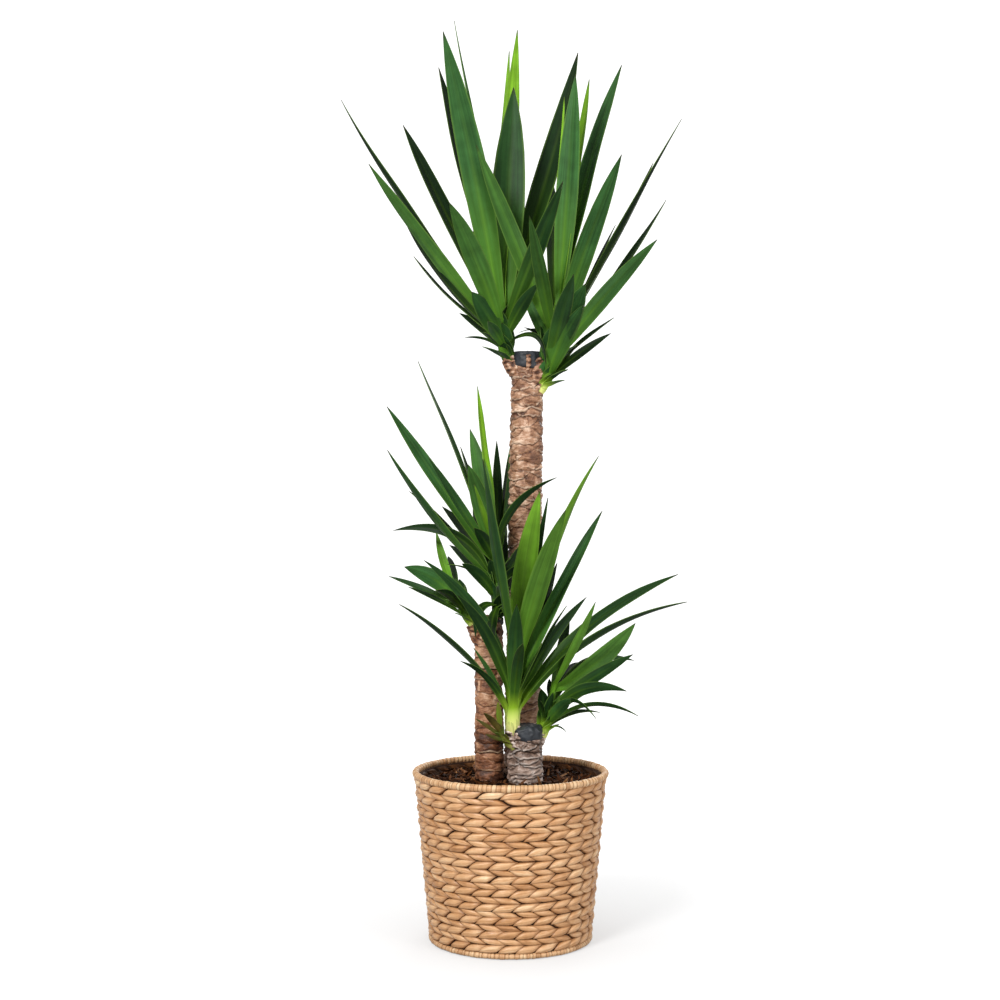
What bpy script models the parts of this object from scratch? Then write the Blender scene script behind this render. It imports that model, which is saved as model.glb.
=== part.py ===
"""A potted yucca: three cut canes with their leafy shoots, in a nursery pot inside a plaited basket.

Metres, +Z up. The origin is the centre of the basket's underside, and -Y is the front.
"""
import math

import bmesh
import bpy
from mathutils import Vector

MM = 0.001
GAP = 0.3  # clear distance between pieces that touch, mm

# Basket, mm
BASKET_TOP_RADIUS = 155.5  # crown of the strands under the rim
BASKET_FOOT_RADIUS = 130.5  # crown of the lowest strands
BASKET_WALL = 9.5
BASKET_FLOOR = 8.0
RIM_HEIGHT = 270.0
RIM_TUBE = 5.6
RIM_RADIUS = 151.4
FOOT_TUBE = 4.5
FOOT_RADIUS = 126.5
WRAP_SINK = 0.82  # radius of the border between two wraps, share of its tube
RIM_WRAPS = 40
FOOT_WRAPS = 34
STRANDS = 28  # strands round each row
RISING_ROWS = 12  # rows of broad strands that rise to the right, with falling rows between them
FALLING_SHARE = 0.78  # height of a falling row against a rising one
STRAND_LEAN = 0.46  # how far a strand leans along its row, share of a strand's pitch
RIDGE_ENDS = ((-0.3, 0.38), (0.3, 0.62))  # a rising strand's ridge: shares of its pitch and of its height
WALL_INSET_FOOT = 12.5  # from the strands' crowns to the hollow's wall at the floor
RISING_RELIEF = 4.0
FALLING_RELIEF = 2.6
BORDER_SIDES = 5
BORDER_FLAT = math.cos(math.pi / BORDER_SIDES)  # a border's flat underside against its tube

# Nursery pot and soil, mm
POT_SIDES = 28
POT_FLOOR_RADIUS = 97.0
POT_LIP_RADIUS = 139.5
POT_LIP_DROP = 12.0
POT_LIP_STEP = 4.0  # how far the lip stands out over the wall
POT_TOP = 253.0
POT_WALL = 2.0
DRAIN_HOLES = 6
DRAIN_RADIUS = 6.0
DRAIN_SIDES = 8
DRAIN_PLACE = 0.72  # distance from the middle, share of the pot's floor
CLEAR = 3.0  # how far a cutter runs past what it cuts
SOIL_EDGE = 249.0  # height of the soil against the pot
SOIL_TOP = 254.0
SOIL_BUMP = 2.6
SOIL_RINGS = 4

# Canes, mm
CANE_SIDES = 13
BARK_START = 260.0  # where the bark relief begins, just over the soil
BARK_PITCH = 23.0  # height from one leaf scar to the next
BARK_RELIEF = 1.9
BARK_DIP = 5.0  # how far a scar rises and dips round the cane
TRIM_LEDGE = 4.0  # height of the trimmed wood that shows under the wax
WAX_SKIN = 1.4
WAX_SIDES = 16
WAX_WAVE = 0.18  # wave of the hem, share of the skirt

# Leaves, mm
EYE = Vector((-16.8, -2600.0, 700.0))  # where the crown was looked at from, level with its middle
LEAF_MIDRIB = 1.5
LEAF_EDGE = 0.75
LEAF_CHANNEL = 0.13  # rise of the edges over the midrib, share of the width
LEAF_WIDTH_SHARE = 0.08  # full width of a leaf against its length
NARROW_LEAF = 12.5  # below this seen width a leaf has a plain lens section
LEAF_STATIONS = ((0.0, 0.56), (0.2, 0.86), (0.44, 1.0), (0.68, 0.82), (0.86, 0.48))
SHORT_LEAF = 290.0  # below this length a leaf has one station less
SHORT_STATIONS = ((0.0, 0.56), (0.28, 0.94), (0.58, 0.92), (0.84, 0.5))

# A cane: foot x, top x, y, foot radius, top radius, foot height, top height, wax skirt
CANES = {
    "tall": (17.0, 27.8, 50.0, 30.0, 25.6, 55.0, 940.0, 20.0),
    "mid": (-34.0, -34.5, -5.0, 23.0, 22.6, 60.0, 514.0, 14.0),
    "short": (22.6, 23.2, -30.0, 27.6, 26.6, 65.0, 343.0, 20.0),
}

# A shoot's stem, from its root in the cane to its growing tip: seen x, seen height, depth, radius.
# Its leaves run from the bottom of the crown to the top, each as the tip's seen x, seen height and depth,
# the width that shows from the front, and the arch as a share of the leaf's length.
# Seen places are those on the upright plane through the basket's middle.
SHOOTS = {
    "tall_left": {
        "cane": "tall",
        "stem": (
            (12, 904, 48, 8),
            (-2, 922, 45, 9),
            (-9, 942, 42, 13),
            (-12, 975, 40, 12),
            (-14, 1030, 42, 5),
        ),
        "crown": (0.45, 0.93),
        "leaves": (
            (-73, 960, 40, 4, 0.12),
            (19, 966, 10, 4, 0.10),
            (-82, 999, 110, 14, 0.04),
            (57, 912, 2, 6, 0.40),
            (-155, 1090, 80, 7, -0.04),
            (-173, 1155, 0, 11, -0.05),
            (44, 1046, -45, 22, 0.05),
            (-227, 1238, -50, 20, -0.02),
            (-98, 1176, -190, 34, 0.03),
            (-60, 1130, 290, 26, 0.06),
            (-271, 1340, 30, 6, -0.03),
            (84, 1210, -110, 28, 0.0),
            (-172, 1300, 190, 28, 0.0),
            (-20, 1215, 290, 30, 0.04),
            (-115, 1392, 200, 27, 0.0),
            (-108, 1450, -30, 44, 0.01),
            (5, 1360, 85, 56, 0.0),
            (108, 1416, 200, 34, -0.02),
            (-90, 1467, 110, 5, 0.0),
            (-2, 1418, 190, 14, 0.0),
            (11, 1452, 165, 24, 0.0),
        ),
    },
    "tall_right": {
        "cane": "tall",
        "stem": (
            (32, 862, 46, 8),
            (50, 880, 42, 10),
            (60, 905, 38, 13),
            (69, 950, 38, 13),
            (78, 1030, 42, 5),
        ),
        "crown": (0.36, 0.95),
        "leaves": (
            (161, 967, 10, 14, 0.03),
            (110, 952, 60, 5, 0.0),
            (118, 1038, -70, 16, 0.0),
            (22, 976, 70, 5, 0.26),
            (166, 992, 70, 6, 0.03),
            (14, 968, 95, 5, 0.36),
            (98, 1050, -170, 22, 0.02),
            (117, 1012, -110, 26, 0.03),
            (130, 1090, 260, 24, 0.08),
            (235, 1117, -40, 27, 0.02),
            (168, 1140, 160, 7, 0.0),
            (249, 1180, 110, 8, -0.03),
            (18, 1032, 85, 20, 0.05),
            (274, 1310, 10, 6, 0.0),
            (228, 1239, 140, 8, -0.02),
            (178, 1253, -90, 32, 0.02),
            (30, 1155, -150, 22, 0.0),
            (-55, 1268, -15, 28, 0.0),
            (60, 1235, 290, 30, 0.04),
            (127, 1242, 160, 9, 0.0),
            (178, 1396, 130, 24, 0.03),
            (126, 1373, 70, 18, 0.0),
            (86, 1345, 110, 6, 0.0),
            (104, 1381, 15, 36, 0.0),
        ),
    },
    "mid_main": {
        "cane": "mid",
        "stem": (
            (-34, 490, -8, 7),
            (-22, 510, -12, 9),
            (-19, 532, -10, 12),
            (-21, 575, -4, 11),
            (-26, 640, 0, 4),
        ),
        "crown": (0.45, 0.95),
        "leaves": (
            (-101, 597, -35, 4, 0.18),
            (-188, 651, 30, 17, 0.22),
            (-162, 714, 80, 7, 0.03),
            (-60, 690, 190, 26, 0.06),
            (-197, 780, -40, 14, -0.04),
            (74, 736, -14, 12, 0.2),
            (-14, 668, 200, 26, 0.08),
            (-110, 690, 160, 18, 0.04),
            (-22, 795, 110, 18, -0.03),
            (8, 815, 185, 16, 0.0),
            (-3, 770, 112, 9, 0.0),
            (-80, 785, 90, 5, 0.0),
            (-198, 850, 20, 22, 0.0),
            (-58, 655, -70, 20, 0.06),
            (-131, 768, -60, 15, 0.0),
            (-68, 757, -80, 30, 0.03),
            (-148, 922, 60, 7, 0.0),
            (-58, 725, -96, 8, 0.0),
            (-65, 814, 30, 27, 0.02),
            (-53, 882, 40, 11, 0.0),
        ),
    },
    "mid_left": {
        "cane": "mid",
        "stem": (
            (-50, 488, -8, 6),
            (-64, 506, -10, 7),
            (-70, 516, -10, 9),
            (-80, 536, -8, 8),
            (-92, 562, -6, 3),
        ),
        "crown": (0.42, 0.94),
        "leaves": (
            (-164, 561, 10, 7, 0.03),
            (-120, 555, -120, 14, 0.08),
            (-195, 578, 40, 9, 0.03),
            (-130, 570, 110, 14, 0.08),
            (-170, 593, -50, 27, 0.08),
            (-100, 610, 120, 14, 0.05),
            (-119, 650, 62, 14, -0.05),
        ),
    },
    "short_left": {
        "cane": "short",
        "stem": (
            (14, 312, -38, 8),
            (4, 332, -44, 11),
            (3, 350, -44, 13),
            (5, 385, -46, 12),
            (9, 440, -48, 4),
        ),
        "crown": (0.42, 0.93),
        "leaves": (
            (-80, 442, -110, 11, 0.12),
            (-59, 463, -80, 9, 0.04),
            (-178, 533, -75, 11, 0.07),
            (283, 537, -50, 12, 0.1),
            (20, 470, -210, 18, 0.1),
            (268, 581, 10, 16, 0.08),
            (90, 531, -75, 6, 0.03),
            (75, 600, -2, 22, 0.02),
            (122, 545, -10, 18, 0.05),
            (-85, 548, -140, 20, 0.08),
            (10, 533, -150, 26, 0.05),
            (-139, 604, -85, 21, 0.1),
            (147, 683, -12, 21, 0.02),
            (141, 770, -70, 12, 0.05),
            (60, 704, -30, 13, 0.0),
            (36, 640, -22, 26, 0.0),
            (-44, 765, -150, 16, 0.0),
            (88, 684, -110, 34, 0.03),
            (47, 714, -70, 37, 0.03),
        ),
    },
    "short_right": {
        "cane": "short",
        "stem": (
            (38, 308, -26, 7),
            (50, 322, -22, 9),
            (56, 340, -20, 10),
            (62, 368, -20, 9),
            (70, 410, -20, 3),
        ),
        "crown": (0.36, 0.94),
        "leaves": (
            (90, 328, -30, 2.5, 0.25),
            (143, 360, 20, 5, 0.12),
            (205, 354, -40, 7, 0.18),
            (48, 379, -66, 5, 0.1),
            (97, 382, -90, 20, 0.03),
            (137, 350, -90, 8, 0.3),
            (186, 394, -85, 19, 0.17),
            (137, 402, -40, 14, 0.05),
            (110, 440, 130, 14, 0.1),
            (198, 443, 40, 14, 0.22),
            (196, 453, -60, 20, 0.02),
            (150, 450, 120, 14, 0.1),
            (62, 414, 10, 10, 0.0),
            (94, 520, 60, 18, 0.0),
            (200, 503, 0, 17, -0.05),
            (136, 537, -130, 13, -0.02),
        ),
    },
    "short_low": {
        "cane": "short",
        "stem": ((8, 300, -44, 4), (-5, 312, -50, 5), (-12, 322, -53, 5), (-18, 334, -55, 2)),
        "crown": (0.4, 0.9),
        "leaves": (
            (-40, 325, -85, 6, 0.0),
            (-56, 350, -60, 6, 0.02),
            (-43, 359, -95, 10, 0.05),
            (-20, 378, -70, 9, 0.0),
        ),
    },
}

# A short woody knob that carries a shoot, fused with its cane: cane, then seen x, seen height, depth, radius
KNOBS = {
    "mid": ((-38, 462, -7, 14), (-52, 484, -9, 13), (-61, 501, -10, 11)),
    "tall": ((16, 902, 48, 16), (2, 918, 46, 15), (-4, 928, 44, 13)),
}

MATERIALS = {
    "water_hyacinth": ("#CF9F6B", 0.62),
    "hyacinth_binding": ("#DDB37E", 0.58),
    "pot_plastic": ("#3A2A22", 0.55),
    "soil_mix": ("#2E1D14", 0.95),
    "cane_bark": ("#A87C5C", 0.8),
    "wax_seal": ("#33363A", 0.42),
    "yucca_leaf": ("#3C6B35", 0.45),
}


def clear_scene():
    for obj in list(bpy.data.objects):
        bpy.data.objects.remove(obj, do_unlink=True)


def linear(hex_colour):
    """An sRGB hex colour as linear RGBA."""
    parts = [int(hex_colour[i : i + 2], 16) / 255 for i in (1, 3, 5)]
    return [p / 12.92 if p <= 0.04045 else ((p + 0.055) / 1.055) ** 2.4 for p in parts] + [1.0]


def material(name):
    found = bpy.data.materials.get(name)
    if found:
        return found
    colour, roughness = MATERIALS[name]
    made = bpy.data.materials.new(name)
    made.use_nodes = True
    shader = made.node_tree.nodes["Principled BSDF"]
    shader.inputs["Base Color"].default_value = linear(colour)
    shader.inputs["Roughness"].default_value = roughness
    shader.inputs["Metallic"].default_value = 0.0
    return made


def solid(name, points, faces, material_name, smooth_angle=40):
    """A mesh object from points in mm, its faces turned outwards and shaded smooth below the angle."""
    mesh = bpy.data.meshes.new(name)
    mesh.from_pydata([Vector(p) * MM for p in points], [], faces)
    shape = bmesh.new()
    shape.from_mesh(mesh)
    bmesh.ops.recalc_face_normals(shape, faces=shape.faces)
    shape.to_mesh(mesh)
    shape.free()
    mesh.shade_smooth()
    mesh.set_sharp_from_angle(angle=math.radians(smooth_angle))
    mesh.materials.append(material(material_name))
    obj = bpy.data.objects.new(name, mesh)
    bpy.context.scene.collection.objects.link(obj)
    return obj


def loft(rings, tip=None):
    """Points and faces of a closed tube through rings of equal count, closed to a tip if one is given."""
    count = len(rings[0])
    points = [p for ring in rings for p in ring]
    faces = [tuple(reversed(range(count)))]
    for k in range(len(rings) - 1):
        for i in range(count):
            a, b = k * count + i, k * count + (i + 1) % count
            faces.append((a, b, b + count, a + count))
    last = (len(rings) - 1) * count
    if tip is None:
        faces.append(tuple(range(last, last + count)))
    else:
        points.append(tip)
        faces += [(last + i, last + (i + 1) % count, len(points) - 1) for i in range(count)]
    return points, faces


def circle(centre, radius, sides, side=Vector((1, 0, 0)), up=Vector((0, 1, 0))):
    turns = [2 * math.pi * i / sides for i in range(sides)]
    return [centre + (side * math.cos(t) + up * math.sin(t)) * radius for t in turns]


def turned(name, profile, sides, material_name):
    """A solid turned round Z from an (r, z) profile whose two ends lie on the axis."""
    rings = [circle(Vector((0, 0, z)), r, sides) for r, z in profile[1:-1]]
    points, faces = loft(rings)
    return solid(name, points, faces, material_name)


def boolean(target, operation, other, solver="EXACT"):
    """Applies a Boolean with an object or a collection, then removes what it used."""
    modifier = target.modifiers.new(operation.lower(), "BOOLEAN")
    modifier.operation = operation
    modifier.solver = solver
    if isinstance(other, bpy.types.Collection):
        modifier.operand_type = "COLLECTION"
        modifier.collection = other
        used = list(other.objects)
    else:
        modifier.object = other
        used = [other]
    bpy.context.view_layer.objects.active = target
    bpy.ops.object.modifier_apply(modifier=modifier.name)
    for obj in used:
        bpy.data.objects.remove(obj, do_unlink=True)
    if isinstance(other, bpy.types.Collection):
        bpy.data.collections.remove(other)


def basket_radius(height):
    """Radius of the strands' crowns at a height over the basket's underside."""
    share = height / RIM_HEIGHT
    return BASKET_FOOT_RADIUS + (BASKET_TOP_RADIUS - BASKET_FOOT_RADIUS) * share


def row_heights():
    """Heights of the seams between the rows of strands, from the foot to the rim."""
    low = 2 * FOOT_TUBE + 2 * GAP
    high = RIM_HEIGHT - RIM_TUBE * (1 + BORDER_FLAT) - GAP
    rising = (high - low) / (RISING_ROWS + (RISING_ROWS - 1) * FALLING_SHARE)
    heights = [low]
    for row in range(2 * RISING_ROWS - 1):
        heights.append(heights[-1] + (rising * FALLING_SHARE if row % 2 else rising))
    return heights


def on_basket(strand, height, inset):
    turn = 2 * math.pi * strand / STRANDS
    radius = basket_radius(height) - inset
    return Vector((radius * math.cos(turn), radius * math.sin(turn), height))


def basket_weave():
    """The plaited wall and floor: each strand is a leaning cell of the wall, raised along its middle."""
    heights = row_heights()
    points, faces = [], []

    def put(point):
        points.append(point)
        return len(points) - 1

    seams = []
    for k, height in enumerate(heights):
        lean = STRAND_LEAN if k % 2 else 0.0
        seams.append([put(on_basket(j + lean, height, RISING_RELIEF)) for j in range(STRANDS)])
    for k in range(len(heights) - 1):
        rising = k % 2 == 0
        for j in range(STRANDS):
            a, b = seams[k][j], seams[k][(j + 1) % STRANDS]
            d, c = seams[k + 1][j], seams[k + 1][(j + 1) % STRANDS]
            middle = j + 0.5 + STRAND_LEAN / 2
            if rising:
                rise = heights[k + 1] - heights[k]
                near, far = (put(on_basket(middle + u, heights[k] + rise * v, 0.0)) for u, v in RIDGE_ENDS)
                faces += [(a, b, near), (b, far, near), (b, c, far), (c, d, far), (d, near, far), (d, a, near)]
            else:
                height = (heights[k] + heights[k + 1]) / 2
                crown = put(on_basket(middle, height, RISING_RELIEF - FALLING_RELIEF))
                faces += [(a, b, crown), (b, c, crown), (c, d, crown), (d, a, crown)]
    lean = STRAND_LEAN
    inner_top = [put(on_basket(j + lean, heights[-1], BASKET_WALL)) for j in range(STRANDS)]
    inner_foot = [put(on_basket(j + lean, BASKET_FLOOR, WALL_INSET_FOOT)) for j in range(STRANDS)]
    floor_radius = FOOT_RADIUS - FOOT_TUBE - 2 * GAP
    inset = basket_radius(0) - floor_radius
    neck = [put(on_basket(j, heights[0], basket_radius(heights[0]) - floor_radius)) for j in range(STRANDS)]
    sole = [put(on_basket(j, 0.0, inset)) for j in range(STRANDS)]
    for j in range(STRANDS):
        n = (j + 1) % STRANDS
        faces.append((seams[-1][j], seams[-1][n], inner_top[n], inner_top[j]))
        faces.append((inner_top[j], inner_top[n], inner_foot[n], inner_foot[j]))
        faces.append((seams[0][j], seams[0][n], neck[n], neck[j]))
        faces.append((neck[j], neck[n], sole[n], sole[j]))
    faces.append(tuple(inner_foot))
    faces.append(tuple(sole))
    return solid("basket_weave", points, faces, "water_hyacinth", smooth_angle=30)


def border(name, radius, height, tube, wraps):
    """A whipped border: a ring that swells under each wrap of binding and sinks between two wraps."""
    rings = []
    for k in range(2 * wraps):
        turn = math.pi * k / wraps
        out = Vector((math.cos(turn), math.sin(turn), 0))
        size = tube if k % 2 else tube * WRAP_SINK
        rings.append(circle(out * radius + Vector((0, 0, height)), size, BORDER_SIDES, Vector((0, 0, 1)), out))
    points = [p for ring in rings for p in ring]
    faces = []
    for k in range(len(rings)):
        n = (k + 1) % len(rings)
        for i in range(BORDER_SIDES):
            m = (i + 1) % BORDER_SIDES
            near, far = k * BORDER_SIDES, n * BORDER_SIDES
            faces.append((near + i, near + m, far + m, far + i))
    return solid(name, points, faces, "hyacinth_binding", smooth_angle=60)


def nursery_pot():
    """The grower's plastic pot, standing on the basket's floor, with drain holes."""
    foot = BASKET_FLOOR + GAP
    lip = POT_TOP - POT_LIP_DROP
    neck = POT_LIP_RADIUS - POT_LIP_STEP
    profile = (
        (0, foot),
        (POT_FLOOR_RADIUS, foot),
        (neck, lip),
        (POT_LIP_RADIUS, lip),
        (POT_LIP_RADIUS, POT_TOP),
        (neck - POT_WALL, POT_TOP),
        (POT_FLOOR_RADIUS - POT_WALL, foot + POT_WALL),
        (0, foot + POT_WALL),
    )
    pot = turned("nursery_pot", profile, POT_SIDES, "pot_plastic")
    holes = bpy.data.collections.new("drain_holes")
    bpy.context.scene.collection.children.link(holes)
    for k in range(DRAIN_HOLES):
        turn = 2 * math.pi * k / DRAIN_HOLES
        centre = Vector((math.cos(turn), math.sin(turn), 0)) * POT_FLOOR_RADIUS * DRAIN_PLACE
        ends = (foot - CLEAR, foot + POT_WALL + CLEAR)
        rings = [circle(centre + Vector((0, 0, z)), DRAIN_RADIUS, DRAIN_SIDES) for z in ends]
        points, faces = loft(rings)
        hole = solid(f"drain_hole_{k}", points, faces, "pot_plastic")
        bpy.context.scene.collection.objects.unlink(hole)
        holes.objects.link(hole)
    boolean(pot, "DIFFERENCE", holes)
    return pot


def cane_centre(name, height):
    """Middle of a cane at a height."""
    foot_x, top_x, y, _, _, foot, top, _ = CANES[name]
    share = (height - foot) / (top - foot)
    return Vector((foot_x + (top_x - foot_x) * share, y, height))


def cane_radius(name, height):
    _, _, _, foot_radius, top_radius, foot, top, _ = CANES[name]
    share = (height - BARK_START) / (top - BARK_START)
    return foot_radius + (top_radius - foot_radius) * max(0.0, share)


def bark_ring(name, height, step):
    """A ring of bark: ridges and grooves alternate upwards, and dip and rise round the cane."""
    centre, radius = cane_centre(name, height), cane_radius(name, height)
    ring = []
    for i in range(CANE_SIDES):
        turn = 2 * math.pi * i / CANE_SIDES
        swell = BARK_RELIEF * (-1) ** step * (0.55 + 0.45 * math.sin(2 * turn + 1.9 * step))
        dip = BARK_DIP * math.sin(turn * 2 + 2.4 * step)
        out = Vector((math.cos(turn), math.sin(turn), 0))
        ring.append(centre + out * (radius + swell) + Vector((0, 0, dip)))
    return ring


def cane(name):
    """A cut cane: plain where it is buried, barked above the soil, and trimmed smooth under its wax."""
    _, _, _, foot_radius, top_radius, foot, top, skirt = CANES[name]
    ledge = top - skirt - TRIM_LEDGE
    scars = int((ledge - BARK_START - BARK_DIP) / BARK_PITCH)
    rings = [circle(cane_centre(name, h), foot_radius, CANE_SIDES) for h in (foot, BARK_START)]
    for step in range(scars):
        height = BARK_START + BARK_PITCH * (step + 1) - BARK_DIP
        rings.append(bark_ring(name, height, step))
    trimmed = top_radius - WAX_SKIN
    rings.append(circle(cane_centre(name, ledge), trimmed, CANE_SIDES))
    rings.append(circle(cane_centre(name, top), trimmed, CANE_SIDES))
    points, faces = loft(rings)
    return solid(f"cane_{name}", points, faces, "cane_bark")


def wax_cap(name):
    """The wax that seals a cane's cut: a thin cup, upside down, with the wavy hem of a dip."""
    _, _, _, _, top_radius, _, top, skirt = CANES[name]
    inner = (top_radius - WAX_SKIN + GAP) / math.cos(math.pi / WAX_SIDES)
    outer = inner + WAX_SKIN
    low = GAP + WAX_SKIN * 1.5
    over, under = Vector((0, 0, GAP + WAX_SKIN)), Vector((0, 0, GAP))
    centre = cane_centre(name, top)
    hem_out = circle(cane_centre(name, top - skirt), outer, WAX_SIDES)
    hem_in = circle(cane_centre(name, top - skirt), inner, WAX_SIDES)
    for i in range(WAX_SIDES):
        turn = 2 * math.pi * i / WAX_SIDES
        wave = Vector((0, 0, skirt * WAX_WAVE * (1 + math.sin(2 * turn + 2.0))))
        hem_out[i] += wave
        hem_in[i] += wave
    rings = (
        hem_in,
        hem_out,
        circle(centre - Vector((0, 0, low)), outer, WAX_SIDES),
        circle(centre + over, outer - WAX_SKIN, WAX_SIDES),
    )
    points = [p for ring in rings for p in ring] + circle(centre + under, inner, WAX_SIDES)
    faces = []
    for k in range(len(rings) - 1):
        for i in range(WAX_SIDES):
            n = (i + 1) % WAX_SIDES
            base = k * WAX_SIDES
            faces.append((base + i, base + n, base + WAX_SIDES + n, base + WAX_SIDES + i))
    top_start, roof_start = 3 * WAX_SIDES, 4 * WAX_SIDES
    faces.append(tuple(range(top_start, top_start + WAX_SIDES)))
    faces.append(tuple(range(roof_start, roof_start + WAX_SIDES)))
    for i in range(WAX_SIDES):
        n = (i + 1) % WAX_SIDES
        faces.append((i, n, roof_start + n, roof_start + i))
    return solid(f"wax_cap_{name}", points, faces, "wax_seal")


def pot_inside(height):
    """Inner radius of the nursery pot at a height."""
    low, high = POT_FLOOR_RADIUS - POT_WALL, POT_LIP_RADIUS - POT_LIP_STEP - POT_WALL
    foot = BASKET_FLOOR + GAP + POT_WALL
    return low + (high - low) * (height - foot) / (POT_TOP - foot)


def soil():
    """The soil fills the pot, heaps up a little towards its middle, and stands round each cane."""
    foot = BASKET_FLOOR + POT_WALL + 2 * GAP
    rings = [circle(Vector((0, 0, foot)), pot_inside(foot) - 2 * GAP, POT_SIDES)]
    for k in range(SOIL_RINGS):
        inward = k / SOIL_RINGS
        height = SOIL_EDGE + (SOIL_TOP - SOIL_EDGE) * inward
        ring = circle(Vector((0, 0, 0)), 1.0, POT_SIDES)
        for i, point in enumerate(ring):
            bump = SOIL_BUMP * math.sin(2.3 * i + 1.7 * k) * math.cos(1.1 * i - 2.9 * k)
            point *= (pot_inside(height + min(bump, 0)) - 2 * GAP) * (1 - inward)
            point.z = height + bump
        rings.append(ring)
    points, faces = loft(rings, tip=Vector((0, 0, SOIL_TOP)))
    bed = solid("soil", points, faces, "soil_mix")
    holes = bpy.data.collections.new("cane_holes")
    bpy.context.scene.collection.children.link(holes)
    for name, sizes in CANES.items():
        _, _, _, foot_radius, _, low, _, _ = sizes
        around = (foot_radius + GAP) / math.cos(math.pi / CANE_SIDES)
        ends = [circle(cane_centre(name, h), around, CANE_SIDES) for h in (low - GAP, SOIL_TOP + 40)]
        points, faces = loft(ends)
        hole = solid(f"hole_{name}", points, faces, "soil_mix")
        bpy.context.scene.collection.objects.unlink(hole)
        holes.objects.link(hole)
    boolean(bed, "DIFFERENCE", holes)
    return bed


def placed(x, height, depth):
    """The point at a depth behind the middle plane that is seen at this x and height on that plane."""
    return EYE + (Vector((x, 0.0, height)) - EYE) * (1 - depth / EYE.y)


def stem_rings(stem, extra=0.0, sides=8):
    """Rings of a stem or knob through its stations, each square to its run."""
    middles = [placed(x, height, depth) for x, height, depth, _ in stem]
    rings = []
    for k, station in enumerate(stem):
        run = (middles[min(k + 1, len(stem) - 1)] - middles[max(k - 1, 0)]).normalized()
        side = run.cross(Vector((0, 1, 0))).normalized()
        up = side.cross(run)
        middle = middles[k] - run * extra if k == 0 else middles[k]
        rings.append(circle(middle, (station[3] + extra) / math.cos(math.pi / sides), sides, side, up))
    return rings


def along(stem, share):
    """Middle and radius of a stem at a share of its stations."""
    place = share * (len(stem) - 1)
    k = min(int(place), len(stem) - 2)
    rest = place - k
    low, high = (placed(*stem[i][:3]) for i in (k, k + 1))
    return low.lerp(high, rest), stem[k][3] + (stem[k + 1][3] - stem[k][3]) * rest


def leaf_width_axis(run, away, shown):
    """Unit width axis, square to the run, that shows this share of the width from the front."""
    back = Vector((0, 1, 0))
    flat = run.cross(back).normalized()
    deep = run.cross(flat)
    natural = Vector((0, 0, 1)).cross(away)
    shown = min(1.0, shown)
    hidden = math.sqrt(1 - shown * shown)
    return flat * math.copysign(shown, natural.dot(flat)) + deep * math.copysign(hidden, natural.dot(deep))


def leaf(name, root, tip, seen_width, arch, stem_radius):
    """A sword-shaped leaf: a shallow channel that narrows to its clasping base and to a needle point."""
    chord = tip - root
    length = chord.length
    away = Vector((chord.x, chord.y, 0)).normalized()
    start = root + away * stem_radius * 0.3
    chord = tip - start
    run = chord.normalized()
    up = Vector((0, 0, 1))
    rise = (up - run * run.z).normalized() if abs(run.z) < 0.98 else -away
    bend = (start + tip) / 2 + rise * arch * 2 * length
    width = max(seen_width, min(LEAF_WIDTH_SHARE * length, 4 * seen_width))
    axis = leaf_width_axis(run, away, seen_width / width)
    facing = axis.cross(run)
    flip = math.copysign(1.0, facing.dot(up - away))
    stations = SHORT_STATIONS if length < SHORT_LEAF else LEAF_STATIONS
    rings = []
    for t, share in stations:
        middle = start * (1 - t) ** 2 + bend * 2 * t * (1 - t) + tip * t * t
        local = ((bend - start) * (1 - t) + (tip - bend) * t).normalized()
        across = (axis - local * axis.dot(local)).normalized()
        normal = across.cross(local) * flip
        half, edge, rib = width * share / 2, LEAF_EDGE / 2, LEAF_MIDRIB / 2
        channel = width * share * LEAF_CHANNEL
        if seen_width < NARROW_LEAF and length < 3 * SHORT_LEAF:
            section = ((-half, channel), (0, rib), (half, channel), (0, -rib))
        else:
            section = (
                (-half, channel + edge),
                (0, rib),
                (half, channel + edge),
                (half, channel - edge),
                (0, -rib),
                (-half, channel - edge),
            )
        rings.append([middle + across * x + normal * z for x, z in section])
    points, faces = loft(rings, tip)
    return solid(name, points, faces, "yucca_leaf")


def shoot(name):
    """A leafy shoot: its stem with every leaf fused to it, roots sunk into the stem."""
    spec = SHOOTS[name]
    stem = spec["stem"]
    points, faces = loft(stem_rings(stem))
    body = solid(f"shoot_{name}", points, faces, "yucca_leaf")
    leaves = bpy.data.collections.new(f"leaves_{name}")
    bpy.context.scene.collection.children.link(leaves)
    first, last = spec["crown"]
    for k, (x, height, depth, seen_width, arch) in enumerate(spec["leaves"]):
        share = first + (last - first) * k / (len(spec["leaves"]) - 1)
        root, radius = along(stem, share)
        blade = leaf(f"leaf_{name}_{k}", root, placed(x, height, depth), seen_width, arch, radius)
        bpy.context.scene.collection.objects.unlink(blade)
        leaves.objects.link(blade)
    boolean(body, "UNION", leaves, solver="MANIFOLD")
    return body


def carve_sockets(pieces, caps):
    """Hollows each cane, its knob and its wax round the foot of every shoot that grows from it."""
    for name, spec in SHOOTS.items():
        for target in (pieces[spec["cane"]], caps[spec["cane"]]):
            points, faces = loft(stem_rings(spec["stem"][:4], extra=GAP))
            boolean(target, "DIFFERENCE", solid(f"socket_{name}", points, faces, "cane_bark"))


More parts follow.
